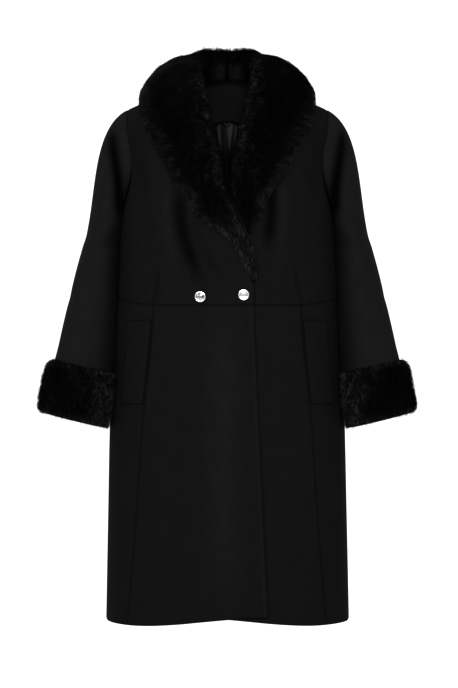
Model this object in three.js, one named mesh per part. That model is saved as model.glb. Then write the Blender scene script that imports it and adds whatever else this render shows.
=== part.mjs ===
// A long wool coat for a woman, filled out as when it is worn, with a fur shawl collar and turned-back fur cuffs.
// Millimetres. +X is the wearer's left, -Y the front and +Z up. The origin lies between the two points where the
// shoulder seams meet the neck, which is where a wearer's shoulders carry the coat.
import * as THREE from "three";

// Driving sizes
const CLOTH = 3; // coating and its lining together
const SEAM_GAP = 0.3; // between two pieces sewn edge to edge
const LAID_GAP = 0.6; // between a piece and the one that it lies on
const SEAT_MARGIN = 3.2; // between the collar's corners and the cloth, which curves between them
const ARMPIT_Z = -275;
const UPPER = 275; // from the armpits to the neck points
const WAIST_Z = -467; // waist seam at the front
const WAIST_SIDE_RISE = 18; // how much higher the seam is at the sides and back
const HEM_Z = -1113;
const HEM_FRONT_RISE = 21; // how much shorter the fronts are at their edges
const NECK_HALF = 80; // from the middle to a neck point
const SHOULDER_SLOPE = 0.449; // drop of a shoulder for each millimetre outwards
const SEAM_Y = 5; // where the shoulder seams run
const ROUNDNESS = 2.35; // 2 would make the body's rings plain ellipses
const OVERLAP_LIFT = 5; // how far the top front stands off the one below it
const WELT_WIDTH = 49;
const WELT_TOP_Z = -497;
const WELT_BOTTOM_Z = -666;
const BUTTON_RADIUS = 11;

// Half width and depths of the body's rings, from the hem up to the armpits
const BODY = [
  { z: -1113, half: 251.5, front: 166, back: 158 },
  { z: -900, half: 247.5, front: 160, back: 152 },
  { z: -700, half: 243.5, front: 153, back: 144 },
  { z: -600, half: 238.5, front: 148, back: 133 },
  { z: -460, half: 231.5, front: 137, back: 107 },
  { z: -380, half: 227.5, front: 142, back: 105 },
  { z: -275, half: 220.5, front: 150, back: 113 },
];
// Edge of a front, measured from the middle towards its own side: down the roll of the collar, then to the hem
const FRONT_EDGE = [
  { z: -1113, own: -83 },
  { z: -800, own: -68 },
  { z: -467, own: -54 },
  { z: -420, own: -53.5 },
  { z: -375, own: -49 },
  { z: -350, own: -41 },
  { z: -325, own: -29 },
  { z: -299, own: -14 },
  { z: -260, own: 2 },
  { z: -239, own: 10 },
  { z: -173, own: 22 },
  { z: -111, own: 38 },
  { z: -70, own: 50 },
  { z: -42, own: 59 },
  { z: -15, own: 72 },
  { z: 0, own: 80 },
];
// Seam between a front's middle and side panels, from the hem up to the waist
const PANEL_SEAM = [
  { z: -1113, own: 201 },
  { z: -983, own: 190 },
  { z: -840, own: 180 },
  { z: -700, own: 171 },
  { z: -545, own: 155 },
  { z: -467, own: 149.5 },
];
// Armhole: half width of the front and of the back, by the share of the way from armpit to shoulder
const ARMHOLE = [
  { share: 0, front: 220.5, back: 220.5 },
  { share: 0.05, front: 214, back: 215 },
  { share: 0.13, front: 207, back: 209 },
  { share: 0.26, front: 199, back: 202 },
  { share: 0.43, front: 194.5, back: 199 },
  { share: 0.57, front: 197, back: 200 },
  { share: 0.78, front: 206, back: 206 },
  { share: 0.9, front: 208, back: 208 },
  { share: 1, front: 207, back: 207 },
];
// Back neckline, by the distance from the middle
const NECKLINE = [
  { own: 0, share: 0.808 },
  { own: 20, share: 0.822 },
  { own: 40, share: 0.861 },
  { own: 60, share: 0.93 },
  { own: 80, share: 1 },
];
// Sleeve rings below the shoulder: middle height, outer and inner side, middle and half depth, drop to the inner side
const SLEEVE = [
  { z: -345, outer: 299, inner: 216, middle: 0, deep: 82, drop: 0.15 },
  { z: -400, outer: 313.5, inner: 217, middle: -3, deep: 77, drop: 0.17 },
  { z: -455, outer: 326, inner: 219, middle: -9, deep: 71, drop: 0.19 },
  { z: -510, outer: 338, inner: 222, middle: -19, deep: 66, drop: 0.21 },
  { z: -560, outer: 348, inner: 226, middle: -31, deep: 63, drop: 0.22 },
  { z: -600, outer: 356.5, inner: 231, middle: -41, deep: 60, drop: 0.23 },
  { z: -650, outer: 365, inner: 239, middle: -48, deep: 59, drop: 0.25 },
  { z: -705, outer: 375, inner: 250, middle: -53, deep: 59, drop: 0.27 },
];
const SLEEVE_END_Z = -690;
const CUFF_TOP_Z = -593;
const CUFF_BOTTOM_Z = -703;
const CUFF_PILE = { outer: 19, depth: 14, inner: 7 }; // how far the fur stands off the sleeve on each side

// Collar: inner and outer edge of its underside, how high it arches between them, and how deep its fur is.
// Rows with a y stand round the neck, and lean says how far they lean in over it. The others lie on the front. up
// turns the arch from flat on the cloth to upright.
const COLLAR_NECK = [
  { own: 0, y: 74.5, z: 13.5, outer: { own: 0, y: 122, z: -66 }, arch: 69, up: 90, pile: 21, lean: 0 },
  { own: 40, y: 64.5, z: 9, outer: { own: 76, y: 115, z: -64 }, arch: 71, up: 90, pile: 22, lean: 4 },
  { own: 68, y: 36, z: 5, outer: { own: 138, y: 86, z: -58 }, arch: 56, up: 90, pile: 24, lean: 18 },
  { own: 79, y: 10, z: 6, outer: { own: 176, y: 30, z: -48 }, arch: 44, up: 88, pile: 26, lean: 34 },
  { own: 66, y: -34, z: -6, outer: { own: 182, y: -14, z: -55 }, arch: 40, up: 76, pile: 27, lean: 14 },
];
const COLLAR_CHEST = [
  { own: 44, z: -38, outer: { own: 178, z: -80 }, arch: 24, up: 58, pile: 27 },
  { own: 33, z: -75, outer: { own: 171, z: -101 }, arch: 13, up: 36, pile: 27 },
  { own: 24, z: -111, outer: { own: 158, z: -126 }, arch: 6, up: 24, pile: 27 },
  { own: 15, z: -150, outer: { own: 141, z: -159 }, arch: 2, up: 16, pile: 26 },
  { own: 8, z: -185, outer: { own: 125, z: -193 }, arch: 0, up: 10, pile: 25 },
];
const COLLAR_END = {
  top: [
    { own: 6, z: -212, outer: { own: 107, z: -225 }, arch: 0, up: 6, pile: 24 },
    { own: -1, z: -241, outer: { own: 82, z: -252 }, arch: 0, up: 3, pile: 23 },
    { own: -11, z: -262, outer: { own: 73, z: -284 }, arch: 0, up: 0, pile: 21 },
    { own: -22, z: -290, outer: { own: 53, z: -302 }, arch: 0, up: 0, pile: 18 },
    { own: -32, z: -312, outer: { own: 28, z: -311 }, arch: 0, up: 0, pile: 16 },
    { own: -42, z: -332, outer: { own: 7, z: -328 }, arch: 0, up: 0, pile: 14 },
    { own: -52, z: -356, outer: { own: -12, z: -350 }, arch: 0, up: 0, pile: 12 },
    { own: -58, z: -385, outer: { own: -31, z: -384 }, arch: 0, up: 0, pile: 10 },
    { own: -58, z: -408, outer: { own: -43, z: -411 }, arch: 0, up: 0, pile: 7 },
    { own: -55, z: -421, outer: { own: -52, z: -421 }, arch: 0, up: 0, pile: 2 },
  ],
  under: [
    { own: 8, z: -212, outer: { own: 107, z: -225 }, arch: 0, up: 6, pile: 24 },
    { own: 6, z: -240, outer: { own: 84, z: -253 }, arch: 0, up: 3, pile: 22 },
    { own: 16, z: -263, outer: { own: 76, z: -281 }, arch: 0, up: 0, pile: 18 },
    { own: 28, z: -289, outer: { own: 63, z: -299 }, arch: 0, up: 0, pile: 13 },
    { own: 38, z: -311, outer: { own: 51, z: -317 }, arch: 0, up: 0, pile: 8 },
    { own: 44, z: -325, outer: { own: 46, z: -327 }, arch: 0, up: 0, pile: 2 },
  ],
};

// Soft folds. Each is a trough along a line on the front, or a flute that deepens down to the hem.
const FRONT_TROUGHS = [
  { from: { x: -95, z: -240 }, to: { x: -50, z: -425 }, bow: 14, deep: 8, wide: 13 },
  { from: { x: -66, z: -300 }, to: { x: -8, z: -420 }, bow: 8, deep: 2.2, wide: 9 },
  { from: { x: 88, z: -225 }, to: { x: 82, z: -360 }, bow: -4, deep: 7, wide: 11 },
];
const FLUTES = [
  { angle: -64, deep: 3, wide: 13 },
  { angle: -26, deep: -3, wide: 12 },
  { angle: 2, deep: 3, wide: 11 },
  { angle: 42, deep: -3.5, wide: 12 },
  { angle: 75, deep: 3, wide: 11 },
  { angle: 112, deep: -5, wide: 13 },
  { angle: 138, deep: 7, wide: 12 },
  { angle: 163, deep: -5, wide: 11 },
  { angle: 186, deep: 6, wide: 13 },
  { angle: 210, deep: -7, wide: 12 },
  { angle: 235, deep: 6, wide: 13 },
  { angle: 258, deep: -4, wide: 11 },
];
const FLUTE_TOP_Z = -560;
const CAP_CREASE = { deep: 12, outside: 24, inside: 9 }; // fold in the sleeve's front, from the shoulder to the armpit
const CAP_CREASE_LINE = [
  { z: -290, own: 219 },
  { z: -220, own: 222 },
  { z: -180, own: 228 },
  { z: -140, own: 235 },
  { z: -95, own: 242 },
];

const RADIAN = Math.PI / 180;
const QUARTER = Math.PI / 2;
const V = (x, y, z) => new THREE.Vector3(x, y, z);
const mix = (a, b, t) => a + (b - a) * t;
// Eases from 0 to 1 between two values, in either order.
function smooth(from, to, x) {
  const t = THREE.MathUtils.clamp((x - from) / (to - from), 0, 1);
  return t * t * (3 - 2 * t);
}

// Hermite curve from a to b that leaves with slope da and arrives with slope db.
function hermite(a, da, b, db, t) {
  const s = 1 - t;
  return a * (1 + 2 * t) * s * s + da * t * s * s + b * t * t * (3 - 2 * t) - db * t * t * s;
}

// A smooth curve through one column of a table, whose rows rise in another column.
function through(rows, along, column) {
  const xs = rows.map((row) => row[along]);
  const ys = rows.map((row) => row[column]);
  const last = xs.length - 1;
  const slopes = xs.map((_, i) => {
    const [a, b] = [Math.max(i - 1, 0), Math.min(i + 1, last)];
    return (ys[b] - ys[a]) / (xs[b] - xs[a]);
  });
  return (x) => {
    const at = THREE.MathUtils.clamp(x, xs[0], xs[last]);
    let i = 0;
    while (i < last - 1 && at > xs[i + 1]) i += 1;
    const step = xs[i + 1] - xs[i];
    return hermite(ys[i], slopes[i] * step, ys[i + 1], slopes[i + 1] * step, (at - xs[i]) / step);
  };
}

const bodyHalf = through(BODY, "z", "half");
const bodyFront = through(BODY, "z", "front");
const bodyBack = through(BODY, "z", "back");
const frontEdge = through(FRONT_EDGE, "z", "own");
const panelSeam = through(PANEL_SEAM, "z", "own");
const armhole = { front: through(ARMHOLE, "share", "front"), back: through(ARMHOLE, "share", "back") };
const neckShare = through(NECKLINE, "own", "share");
const capCrease = through(CAP_CREASE_LINE, "z", "own");
const sleeveAt = Object.fromEntries(
  ["outer", "inner", "middle", "deep", "drop"].map((column) => [
    column,
    through([...SLEEVE].reverse(), "z", column),
  ]),
);

// The coat's bare surface. An angle of 0 is the middle front and 90 degrees the wearer's left side. A level is the
// height over the armpits, and above them it follows the slope of the shoulders, so that UPPER is the shoulder seam.
const isBack = (angle) => Math.cos(angle) < 0;
const ringZ = (level) => ARMPIT_Z + Math.min(level, 0);

// Depth of a body ring at a distance from its middle.
function depthAt(x, level, back) {
  const z = ringZ(level);
  const share = Math.min(Math.abs(x) / bodyHalf(z), 1);
  return (back ? bodyBack(z) : bodyFront(z)) * (1 - share ** ROUNDNESS) ** (1 / ROUNDNESS);
}

const frontAngle = (x, level) => Math.atan2(x, depthAt(x, level, false));

function surface(angle, level) {
  const z = ringZ(level);
  const deep = isBack(angle) ? bodyBack(z) : bodyFront(z);
  const across = Math.abs(Math.sin(angle) / bodyHalf(z)) ** ROUNDNESS;
  const along = Math.abs(Math.cos(angle) / deep) ** ROUNDNESS;
  const r = (across + along) ** (-1 / ROUNDNESS);
  const [x, y] = [r * Math.sin(angle), -r * Math.cos(angle)];
  if (level <= 0) return V(x, y, z);
  const share = Math.min(level / UPPER, 1);
  const beyond = Math.abs(x) - NECK_HALF;
  const neck = isBack(angle) ? NECK_HALF * Math.cos((Math.min(Math.abs(x) / NECK_HALF, 1) * Math.PI) / 2) ** 1.3 : 0;
  const top = beyond > 0 ? -SHOULDER_SLOPE * beyond : neck;
  const close = isBack(angle) ? (1 - share ** 2.6) ** 0.55 : (1 - share ** 2.2) ** 0.62;
  return V(x, SEAM_Y + (y - SEAM_Y) * close, ARMPIT_Z + (top - ARMPIT_Z) * share);
}

function surfaceNormal(angle, level) {
  const [turn, rise] = [0.004, 0.6];
  const across = surface(angle + turn, level).sub(surface(angle - turn, level));
  const high = Math.min(level + rise, UPPER);
  const upwards = surface(angle, high).sub(surface(angle, high - 2 * rise));
  return across.cross(upwards).normalize();
}

// Signed depth of the soft folds, and the fullness that the darts shape over the chest.
function relief(p) {
  let out = 0;
  if (p.y < 0) {
    const [across, up] = [(Math.abs(p.x) - 92) / 58, (p.z + 292) / 75];
    out += 8 * Math.exp(-across * across - up * up);
    for (const fold of FRONT_TROUGHS) {
      const t = (p.z - fold.from.z) / (fold.to.z - fold.from.z);
      const middle = mix(fold.from.x, fold.to.x, t) - fold.bow * Math.sin(Math.PI * THREE.MathUtils.clamp(t, 0, 1));
      const fade = smooth(-0.12, 0.2, t) * (1 - smooth(0.7, 1.1, t));
      out -= fold.deep * fade * Math.exp(-(((p.x - middle) / fold.wide) ** 2));
    }
  }
  const angle = Math.atan2(p.x, -p.y) / RADIAN;
  const grown = smooth(FLUTE_TOP_Z, HEM_Z, p.z);
  for (const flute of FLUTES) {
    const off = ((angle - flute.angle + 540) % 360) - 180;
    out += flute.deep * grown * Math.exp(-((off / flute.wide) ** 2));
  }
  return out;
}

// How far the top front is lifted by the one below it. own is the distance from the middle to the top front's side.
function overlapLift(own, z) {
  const underEdge = -frontEdge(z);
  return OVERLAP_LIFT * (1 - smooth(underEdge + 5, underEdge + 42, own));
}

// A point of the coat as made, moved out by some distance, with its direction outwards. The top front is side -1.
function skin(angle, level, out, side) {
  const normal = surfaceNormal(angle, level);
  const point = surface(angle, level);
  const lift = side === -1 ? overlapLift(-point.x, point.z) : 0;
  return { point: point.addScaledVector(normal, relief(point) + lift + out), normal };
}

// The same for a place on the front that is given by its x and z.
function frontSkin(x, z, out, side) {
  const top = -SHOULDER_SLOPE * Math.max(Math.abs(x) - NECK_HALF, 0);
  const level = z <= ARMPIT_Z ? z - ARMPIT_Z : (UPPER * (z - ARMPIT_Z)) / (top - ARMPIT_Z);
  return skin(frontAngle(x, level), Math.min(level, UPPER), out, side);
}

// How far the body reaches to a side at a depth and height.
function bodyReach(y, z) {
  const level = Math.min(z - ARMPIT_Z, 0);
  const deep = y > 0 ? bodyBack(ringZ(level)) : bodyFront(ringZ(level));
  const share = Math.min(Math.abs(y) / deep, 1);
  return bodyHalf(ringZ(level)) * (1 - share ** ROUNDNESS) ** (1 / ROUNDNESS);
}

// A closed solid between two grids of points. wraps joins the last column to the first, and pinched means that the
// two grids meet along their first and last columns.
function solid(outer, inner, { wraps = false, pinched = false } = {}) {
  const [rows, columns] = [outer.length, outer[0].length];
  const points = [...outer.flat(), ...inner.flat()];
  const at = (layer, i, j) => {
    const column = j % columns;
    const shared = pinched && (column === 0 || column === columns - 1);
    return (shared ? 0 : layer) * rows * columns + i * columns + column;
  };
  const faces = [];
  const quad = (a, b, c, d) => {
    for (const face of [
      [a, b, c],
      [a, c, d],
    ])
      if (new Set(face).size === 3) faces.push(face);
  };
  const across = wraps ? columns : columns - 1;
  for (let j = 0; j < across; j += 1) {
    for (let i = 0; i < rows - 1; i += 1) {
      quad(at(0, i, j), at(0, i, j + 1), at(0, i + 1, j + 1), at(0, i + 1, j));
      quad(at(1, i, j), at(1, i + 1, j), at(1, i + 1, j + 1), at(1, i, j + 1));
    }
    quad(at(0, 0, j), at(1, 0, j), at(1, 0, j + 1), at(0, 0, j + 1));
    quad(at(0, rows - 1, j), at(0, rows - 1, j + 1), at(1, rows - 1, j + 1), at(1, rows - 1, j));
  }
  if (!wraps && !pinched)
    for (let i = 0; i < rows - 1; i += 1) {
      quad(at(0, i, 0), at(0, i + 1, 0), at(1, i + 1, 0), at(1, i, 0));
      const j = columns - 1;
      quad(at(0, i, j), at(1, i, j), at(1, i + 1, j), at(0, i + 1, j));
    }
  const volume = faces.reduce((sum, [a, b, c]) => sum + points[a].dot(points[b].clone().cross(points[c])), 0);
  const geometry = new THREE.BufferGeometry();
  geometry.setAttribute("position", new THREE.Float32BufferAttribute(points.flatMap((p) => p.toArray()), 3));
  geometry.setIndex(faces.flatMap((face) => (volume > 0 ? face : [face[0], face[2], face[1]])));
  geometry.computeVertexNormals();
  return geometry;
}

const coat = new THREE.Group();
const wool = new THREE.MeshStandardMaterial({ color: 0x161616, roughness: 0.95, metalness: 0 });
const fur = new THREE.MeshStandardMaterial({ color: 0x080808, roughness: 0.8, metalness: 0 });
const satin = new THREE.MeshStandardMaterial({ color: 0x1c1c1c, roughness: 0.35, metalness: 0 });
const metal = new THREE.MeshStandardMaterial({ color: 0xd8d8d8, roughness: 0.2, metalness: 1 });

function add(name, geometry, material) {
  const mesh = new THREE.Mesh(geometry, material);
  mesh.name = name;
  coat.add(mesh);
  return mesh;
}

// A piece of cloth cut from the coat's surface. place gives the angle and level for the shares up and across it.
function cloth(name, rows, columns, place, { out = 0, thick = CLOTH, side = 0, material = wool } = {}) {
  const [outer, inner] = [[], []];
  for (let i = 0; i <= rows; i += 1) {
    outer.push([]);
    inner.push([]);
    for (let j = 0; j <= columns; j += 1) {
      const { angle, level, outwards = 0, seamY } = place(i / rows, j / columns);
      const { point, normal } = skin(angle, level, out + outwards, side);
      const under = point.clone().addScaledVector(normal, -thick);
      if (seamY !== undefined) point.y = under.y = seamY;
      outer[i].push(point);
      inner[i].push(under);
    }
  }
  add(name, solid(outer, inner), material);
}

const waistLevel = (angle) => {
  const round = Math.abs(Math.atan2(Math.sin(angle), Math.cos(angle))) / RADIAN;
  return WAIST_Z - ARMPIT_Z + WAIST_SIDE_RISE * smooth(50, 90, round);
};
const hemLevel = (angle, own) => {
  const towardsEdge = isBack(angle) ? 0 : (PANEL_SEAM.at(-1).own - own) / 233;
  return HEM_Z - ARMPIT_Z + HEM_FRONT_RISE * smooth(0, 1.15, towardsEdge);
};
// An angle moved towards another by half a seam's gap.
const trimmed = (angle, towards) => angle + (Math.sign(towards - angle) * SEAM_GAP) / 2 / 160;

const LOW_ROWS = 6; // of a bodice, from the waist to the armpits
const HIGH_ROWS = 10; // from the armpits to the shoulders
const lowShare = (up) => Math.min((up * (LOW_ROWS + HIGH_ROWS)) / LOW_ROWS, 1);
const highShare = (up) => Math.sin((QUARTER * Math.max(up * (LOW_ROWS + HIGH_ROWS) - LOW_ROWS, 0)) / HIGH_ROWS) ** 2;

function bodiceFront(name, side) {
  cloth(
    name,
    LOW_ROWS + HIGH_ROWS,
    12,
    (up, across) => {
      const share = highShare(up);
      const rough = share > 0 ? share * UPPER : (WAIST_Z - ARMPIT_Z) * (1 - lowShare(up));
      const edgeX = frontEdge(ARMPIT_Z + rough);
      const outerAngle = share > 0 ? frontAngle(armhole.front(share), 0) : QUARTER;
      const innerAngle = trimmed(frontAngle(edgeX, rough), QUARTER);
      const angle = mix(innerAngle, trimmed(outerAngle, 0), across);
      const level = share > 0 ? share * UPPER : (waistLevel(angle) + SEAM_GAP / 2) * (1 - lowShare(up));
      return { angle: side * angle, level, seamY: share === 1 ? SEAM_Y - SEAM_GAP / 2 : undefined };
    },
    { side },
  );
}

function bodiceBack() {
  cloth("bodice_back", LOW_ROWS + HIGH_ROWS, 22, (up, across) => {
    const share = highShare(up);
    const half = armhole.back(share);
    const outerAngle = share > 0 ? Math.atan2(half, depthAt(half, 0, true)) : QUARTER;
    const angle = Math.PI + mix(-1, 1, across) * trimmed(outerAngle, 0);
    const own = Math.abs(surface(angle, 0).x);
    const top = UPPER * (own < NECK_HALF ? neckShare(own) : 1);
    const level = share > 0 ? share * top : (waistLevel(angle) + SEAM_GAP / 2) * (1 - lowShare(up));
    return { angle, level, seamY: share === 1 && own >= NECK_HALF ? SEAM_Y + SEAM_GAP / 2 : undefined };
  });
}

const SKIRT_ROWS = 12;
function skirtPanel(name, side, columns, fromOwn, toAngle) {
  cloth(
    name,
    SKIRT_ROWS,
    columns,
    (up, across) => {
      const rough = mix(HEM_Z, WAIST_Z, up) - ARMPIT_Z;
      const from = frontAngle(fromOwn(ARMPIT_Z + rough), rough);
      const to = toAngle(rough);
      const angle = mix(trimmed(from, to), trimmed(to, from), across);
      const hem = hemLevel(angle, surface(angle, rough).x);
      return { angle: side * angle, level: mix(hem, waistLevel(angle) - SEAM_GAP / 2, up) };
    },
    { side },
  );
}

function skirtBack() {
  cloth("skirt_back", SKIRT_ROWS, 24, (up, across) => {
    const angle = Math.PI + mix(-1, 1, across) * trimmed(QUARTER, 0);
    return { angle, level: mix(HEM_Z - ARMPIT_Z, waistLevel(angle) - SEAM_GAP / 2, up) };
  });
}

function pocketWelt(name, side) {
  cloth(
    name,
    6,
    3,
    (up, across) => {
      const level = mix(WELT_BOTTOM_Z, WELT_TOP_Z, up) - ARMPIT_Z;
      const from = frontAngle(panelSeam(ARMPIT_Z + level), level) + 0.008;
      const radius = surface(from, level).setZ(0).length();
      return { angle: side * (from + (across * WELT_WIDTH) / radius), level };
    },
    { out: CLOTH + LAID_GAP, side: 0 },
  );
}

// Inside the back: a facing of coating at the neck, and below it the satin lining with a pleat down its middle.
const INSIDE = -(CLOTH + 2);
function backFacing() {
  cloth(
    "back_neck_facing",
    5,
    12,
    (up, across) => {
      const angle = Math.PI + mix(-1, 1, across) * 48 * RADIAN;
      const own = Math.abs(surface(angle, 0).x);
      const top = UPPER * Math.min(neckShare(Math.min(own, NECK_HALF)), 0.94) - 2;
      const bottom = UPPER * mix(0.58, 0.72, (own / 120) ** 2);
      return { angle, level: mix(bottom, top, up) };
    },
    { out: INSIDE - 1.5, thick: 1.6 },
  );
}

const PLEAT = { deep: 6, wide: 0.075 }; // depth in millimetres, width in radians
function backLining() {
  cloth(
    "back_lining",
    10,
    20,
    (up, across) => {
      const side = mix(-1, 1, across);
      const angle = Math.PI + (side * 0.45 + side ** 3 * 0.55) * 62 * RADIAN;
      const level = mix(waistLevel(angle) + 6, UPPER * 0.57, up);
      const pleat = PLEAT.deep * Math.exp(-(((angle - Math.PI) / PLEAT.wide) ** 2));
      return { angle, level, outwards: -pleat };
    },
    { out: INSIDE, thick: 1, material: satin },
  );
}

// A sleeve's outer surface on the wearer's left. turn is 0 at the outer side, a quarter at the front, a half at the
// body. along is 0 at the armhole, 1 at the first ring of the table, and after that counts on down to the sleeve's end.
function sleeveRing(turn, z) {
  const [outer, inner] = [sleeveAt.outer(z), sleeveAt.inner(z)];
  const [half, middle] = [(outer - inner) / 2, (outer + inner) / 2];
  const x = middle + half * Math.cos(turn);
  const y = sleeveAt.middle(z) - sleeveAt.deep(z) * Math.sin(turn);
  return V(x, y, z + sleeveAt.drop(z) * (x - middle));
}

function armholePoint(turn, out) {
  const share = Math.cos(turn / 2) ** 2;
  const front = Math.sin(turn) >= 0;
  const half = front ? armhole.front(share) : armhole.back(share);
  const angle = front ? frontAngle(half, 0) : Math.PI - Math.atan2(half, depthAt(half, 0, true));
  const { point, normal } = skin(angle, share * UPPER, 0, 0);
  const away = V(1, 0, mix(0.15, -SHOULDER_SLOPE, share));
  away.addScaledVector(normal, -away.dot(normal)).normalize();
  return { point: point.addScaledVector(away, out), normal, away };
}

function sleeveSurface(turn, along) {
  const first = SLEEVE[0].z;
  if (along >= 1) return clearOfBody(sleeveRing(turn, mix(first, SLEEVE_END_Z, along - 1)));
  const start = armholePoint(turn, SEAM_GAP).point;
  const end = sleeveRing(turn, first);
  const out = (1 + Math.cos(turn)) / 2;
  const leave = V(15 + 228 * out ** 1.45, -35 * Math.sin(turn), -60 - 60 * out ** 2);
  const arrive = V(10 + 80 * out, -5 * Math.sin(turn), -90 - 160 * out ** 0.6);
  const point = V(
    ...["x", "y", "z"].map((axis) => hermite(start[axis], leave[axis], end[axis], arrive[axis], along)),
  );
  const off = point.x - capCrease(point.z);
  const shape = off > 0 ? Math.exp(-off / CAP_CREASE.outside) : Math.exp(-((off / CAP_CREASE.inside) ** 2));
  const fade = smooth(0.12, 0.4, along) * smooth(-85, -120, point.z) * smooth(0, 40, -point.y);
  point.y += CAP_CREASE.deep * shape * fade;
  return clearOfBody(point, smooth(0, 0.25, along));
}

// Moves a sleeve's point sideways until it clears the body. share eases the gap in from the seam.
function clearOfBody(point, share = 1) {
  const reach = bodyReach(point.y, point.z) + LAID_GAP + 1.4 * share;
  if (point.z < ARMPIT_Z + 30) point.x = Math.max(point.x, reach);
  return point;
}

function sleeveNormal(turn, along) {
  const [step, slide] = [0.03, 0.01];
  const from = Math.max(along - slide, 0);
  const across = sleeveSurface(turn + step, along).sub(sleeveSurface(turn - step, along));
  const down = sleeveSurface(turn, along + slide).sub(sleeveSurface(turn, from));
  return across.cross(down).normalize();
}

const mirrored = (grid, side) => (side > 0 ? grid : grid.map((row) => row.map((p) => V(-p.x, p.y, p.z))));

const SLEEVE_TURNS = 2 * HIGH_ROWS; // so that its rows meet those of the bodice
const CAP_ROWS = 8;
const ARM_ROWS = 10;
function sleeve(name, side) {
  const [outer, inner] = [[], []];
  for (let i = 0; i <= CAP_ROWS + ARM_ROWS; i += 1) {
    const along = i <= CAP_ROWS ? (i / CAP_ROWS) ** 1.15 : 1 + (i - CAP_ROWS) / ARM_ROWS;
    outer.push([]);
    inner.push([]);
    for (let j = 0; j < SLEEVE_TURNS; j += 1) {
      const turn = (j / SLEEVE_TURNS) * 2 * Math.PI;
      const inwards = sleeveNormal(turn, along).negate();
      if (i === 0) {
        const { away } = armholePoint(turn, 0);
        inwards.addScaledVector(away, Math.max(-inwards.dot(away), 0)).normalize();
      }
      const point = sleeveSurface(turn, along);
      outer[i].push(point);
      inner[i].push(point.clone().addScaledVector(inwards, CLOTH));
    }
  }
  add(name, solid(mirrored(outer, side), mirrored(inner, side), { wraps: true }), wool);
}

function cuff(name, side) {
  const rows = 8;
  const turns = SLEEVE_TURNS;
  const [outer, inner] = [[], []];
  for (let i = 0; i <= rows; i += 1) {
    const down = i / rows;
    const z = mix(CUFF_TOP_Z, CUFF_BOTTOM_Z, (1 - Math.cos(Math.PI * down)) / 2);
    const round = (1 - Math.abs(Math.cos(Math.PI * down)) ** 5) ** 0.5;
    outer.push([]);
    inner.push([]);
    for (let j = 0; j < turns; j += 1) {
      const turn = (j / turns) * 2 * Math.PI;
      const point = sleeveRing(turn, z);
      const away = sleeveRing(turn, z).sub(sleeveRing(turn + Math.PI, z)).setZ(0).normalize();
      const facing = Math.cos(turn);
      const pile = mix(CUFF_PILE.depth, facing > 0 ? CUFF_PILE.outer : CUFF_PILE.inner, facing ** 2);
      const seated = clearOfBody(point.clone()).addScaledVector(away, 2 * LAID_GAP);
      inner[i].push(seated);
      outer[i].push(clearOfBody(seated.clone().addScaledVector(away, 3 + (pile - 3) * round)));
    }
  }
  add(name, solid(mirrored(outer, side), mirrored(inner, side), { wraps: true }), fur);
}

// The collar's section at a place along it, counted in rows of its tables.
function collarRow(rows, at) {
  const pick = (get) => through(rows.map((row, i) => ({ i, value: get(row) })), "i", "value")(at);
  const inner = V(pick((r) => r.own), pick((r) => r.y), pick((r) => r.z));
  const outer = V(pick((r) => r.outer.own), pick((r) => r.outer.y), pick((r) => r.outer.z));
  const up = pick((r) => r.up) * RADIAN;
  return { inner, outer, up, arch: pick((r) => r.arch), pile: pick((r) => r.pile), lean: pick((r) => r.lean ?? 0) };
}

// Whether a point, on the side where x is positive, lies in the coat's body or within a margin of it.
function insideBody(point, margin, side) {
  const back = point.y > SEAM_Y;
  const beyond = point.x - NECK_HALF;
  if (back && beyond < 0) return false;
  const share = (point.z - margin - ARMPIT_Z) / (UPPER - SHOULDER_SLOPE * Math.max(beyond, 0));
  if (share >= 1) return false;
  if (back) return point.y - margin < SEAM_Y + (depthAt(point.x, 0, true) - SEAM_Y) * (1 - share ** 2.6) ** 0.55;
  return point.y + margin > frontSkin(side * point.x, point.z, 0, side).point.y;
}

// Moves a point along a direction until it is clear of the coat's body.
function seatOn(point, direction, side) {
  for (let steps = 0; steps < 120 && insideBody(point, SEAT_MARGIN, side); steps += 1)
    point.addScaledVector(direction, 0.5);
  return point;
}

const COLLAR_JOIN = SEAM_GAP / 2; // how far each half of the collar ends from the middle of the back
const COLLAR_RINGS = 32;
const COLLAR_COLUMNS = 9;
// Shape of an arch over the share across a section: steep at the neck, highest at a third, and flat at the edge.
const archShape = (across) => Math.sin(Math.PI * across ** 0.6);
// The same for the lean, which is greatest near the neck and fades before the edge.
const leanShape = (across) => 1.9 * archShape(across) * (1 - across) ** 3;
const pileShape = (across) => (1 - Math.abs(2 * across - 1) ** 2.6) ** 0.5;

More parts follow.
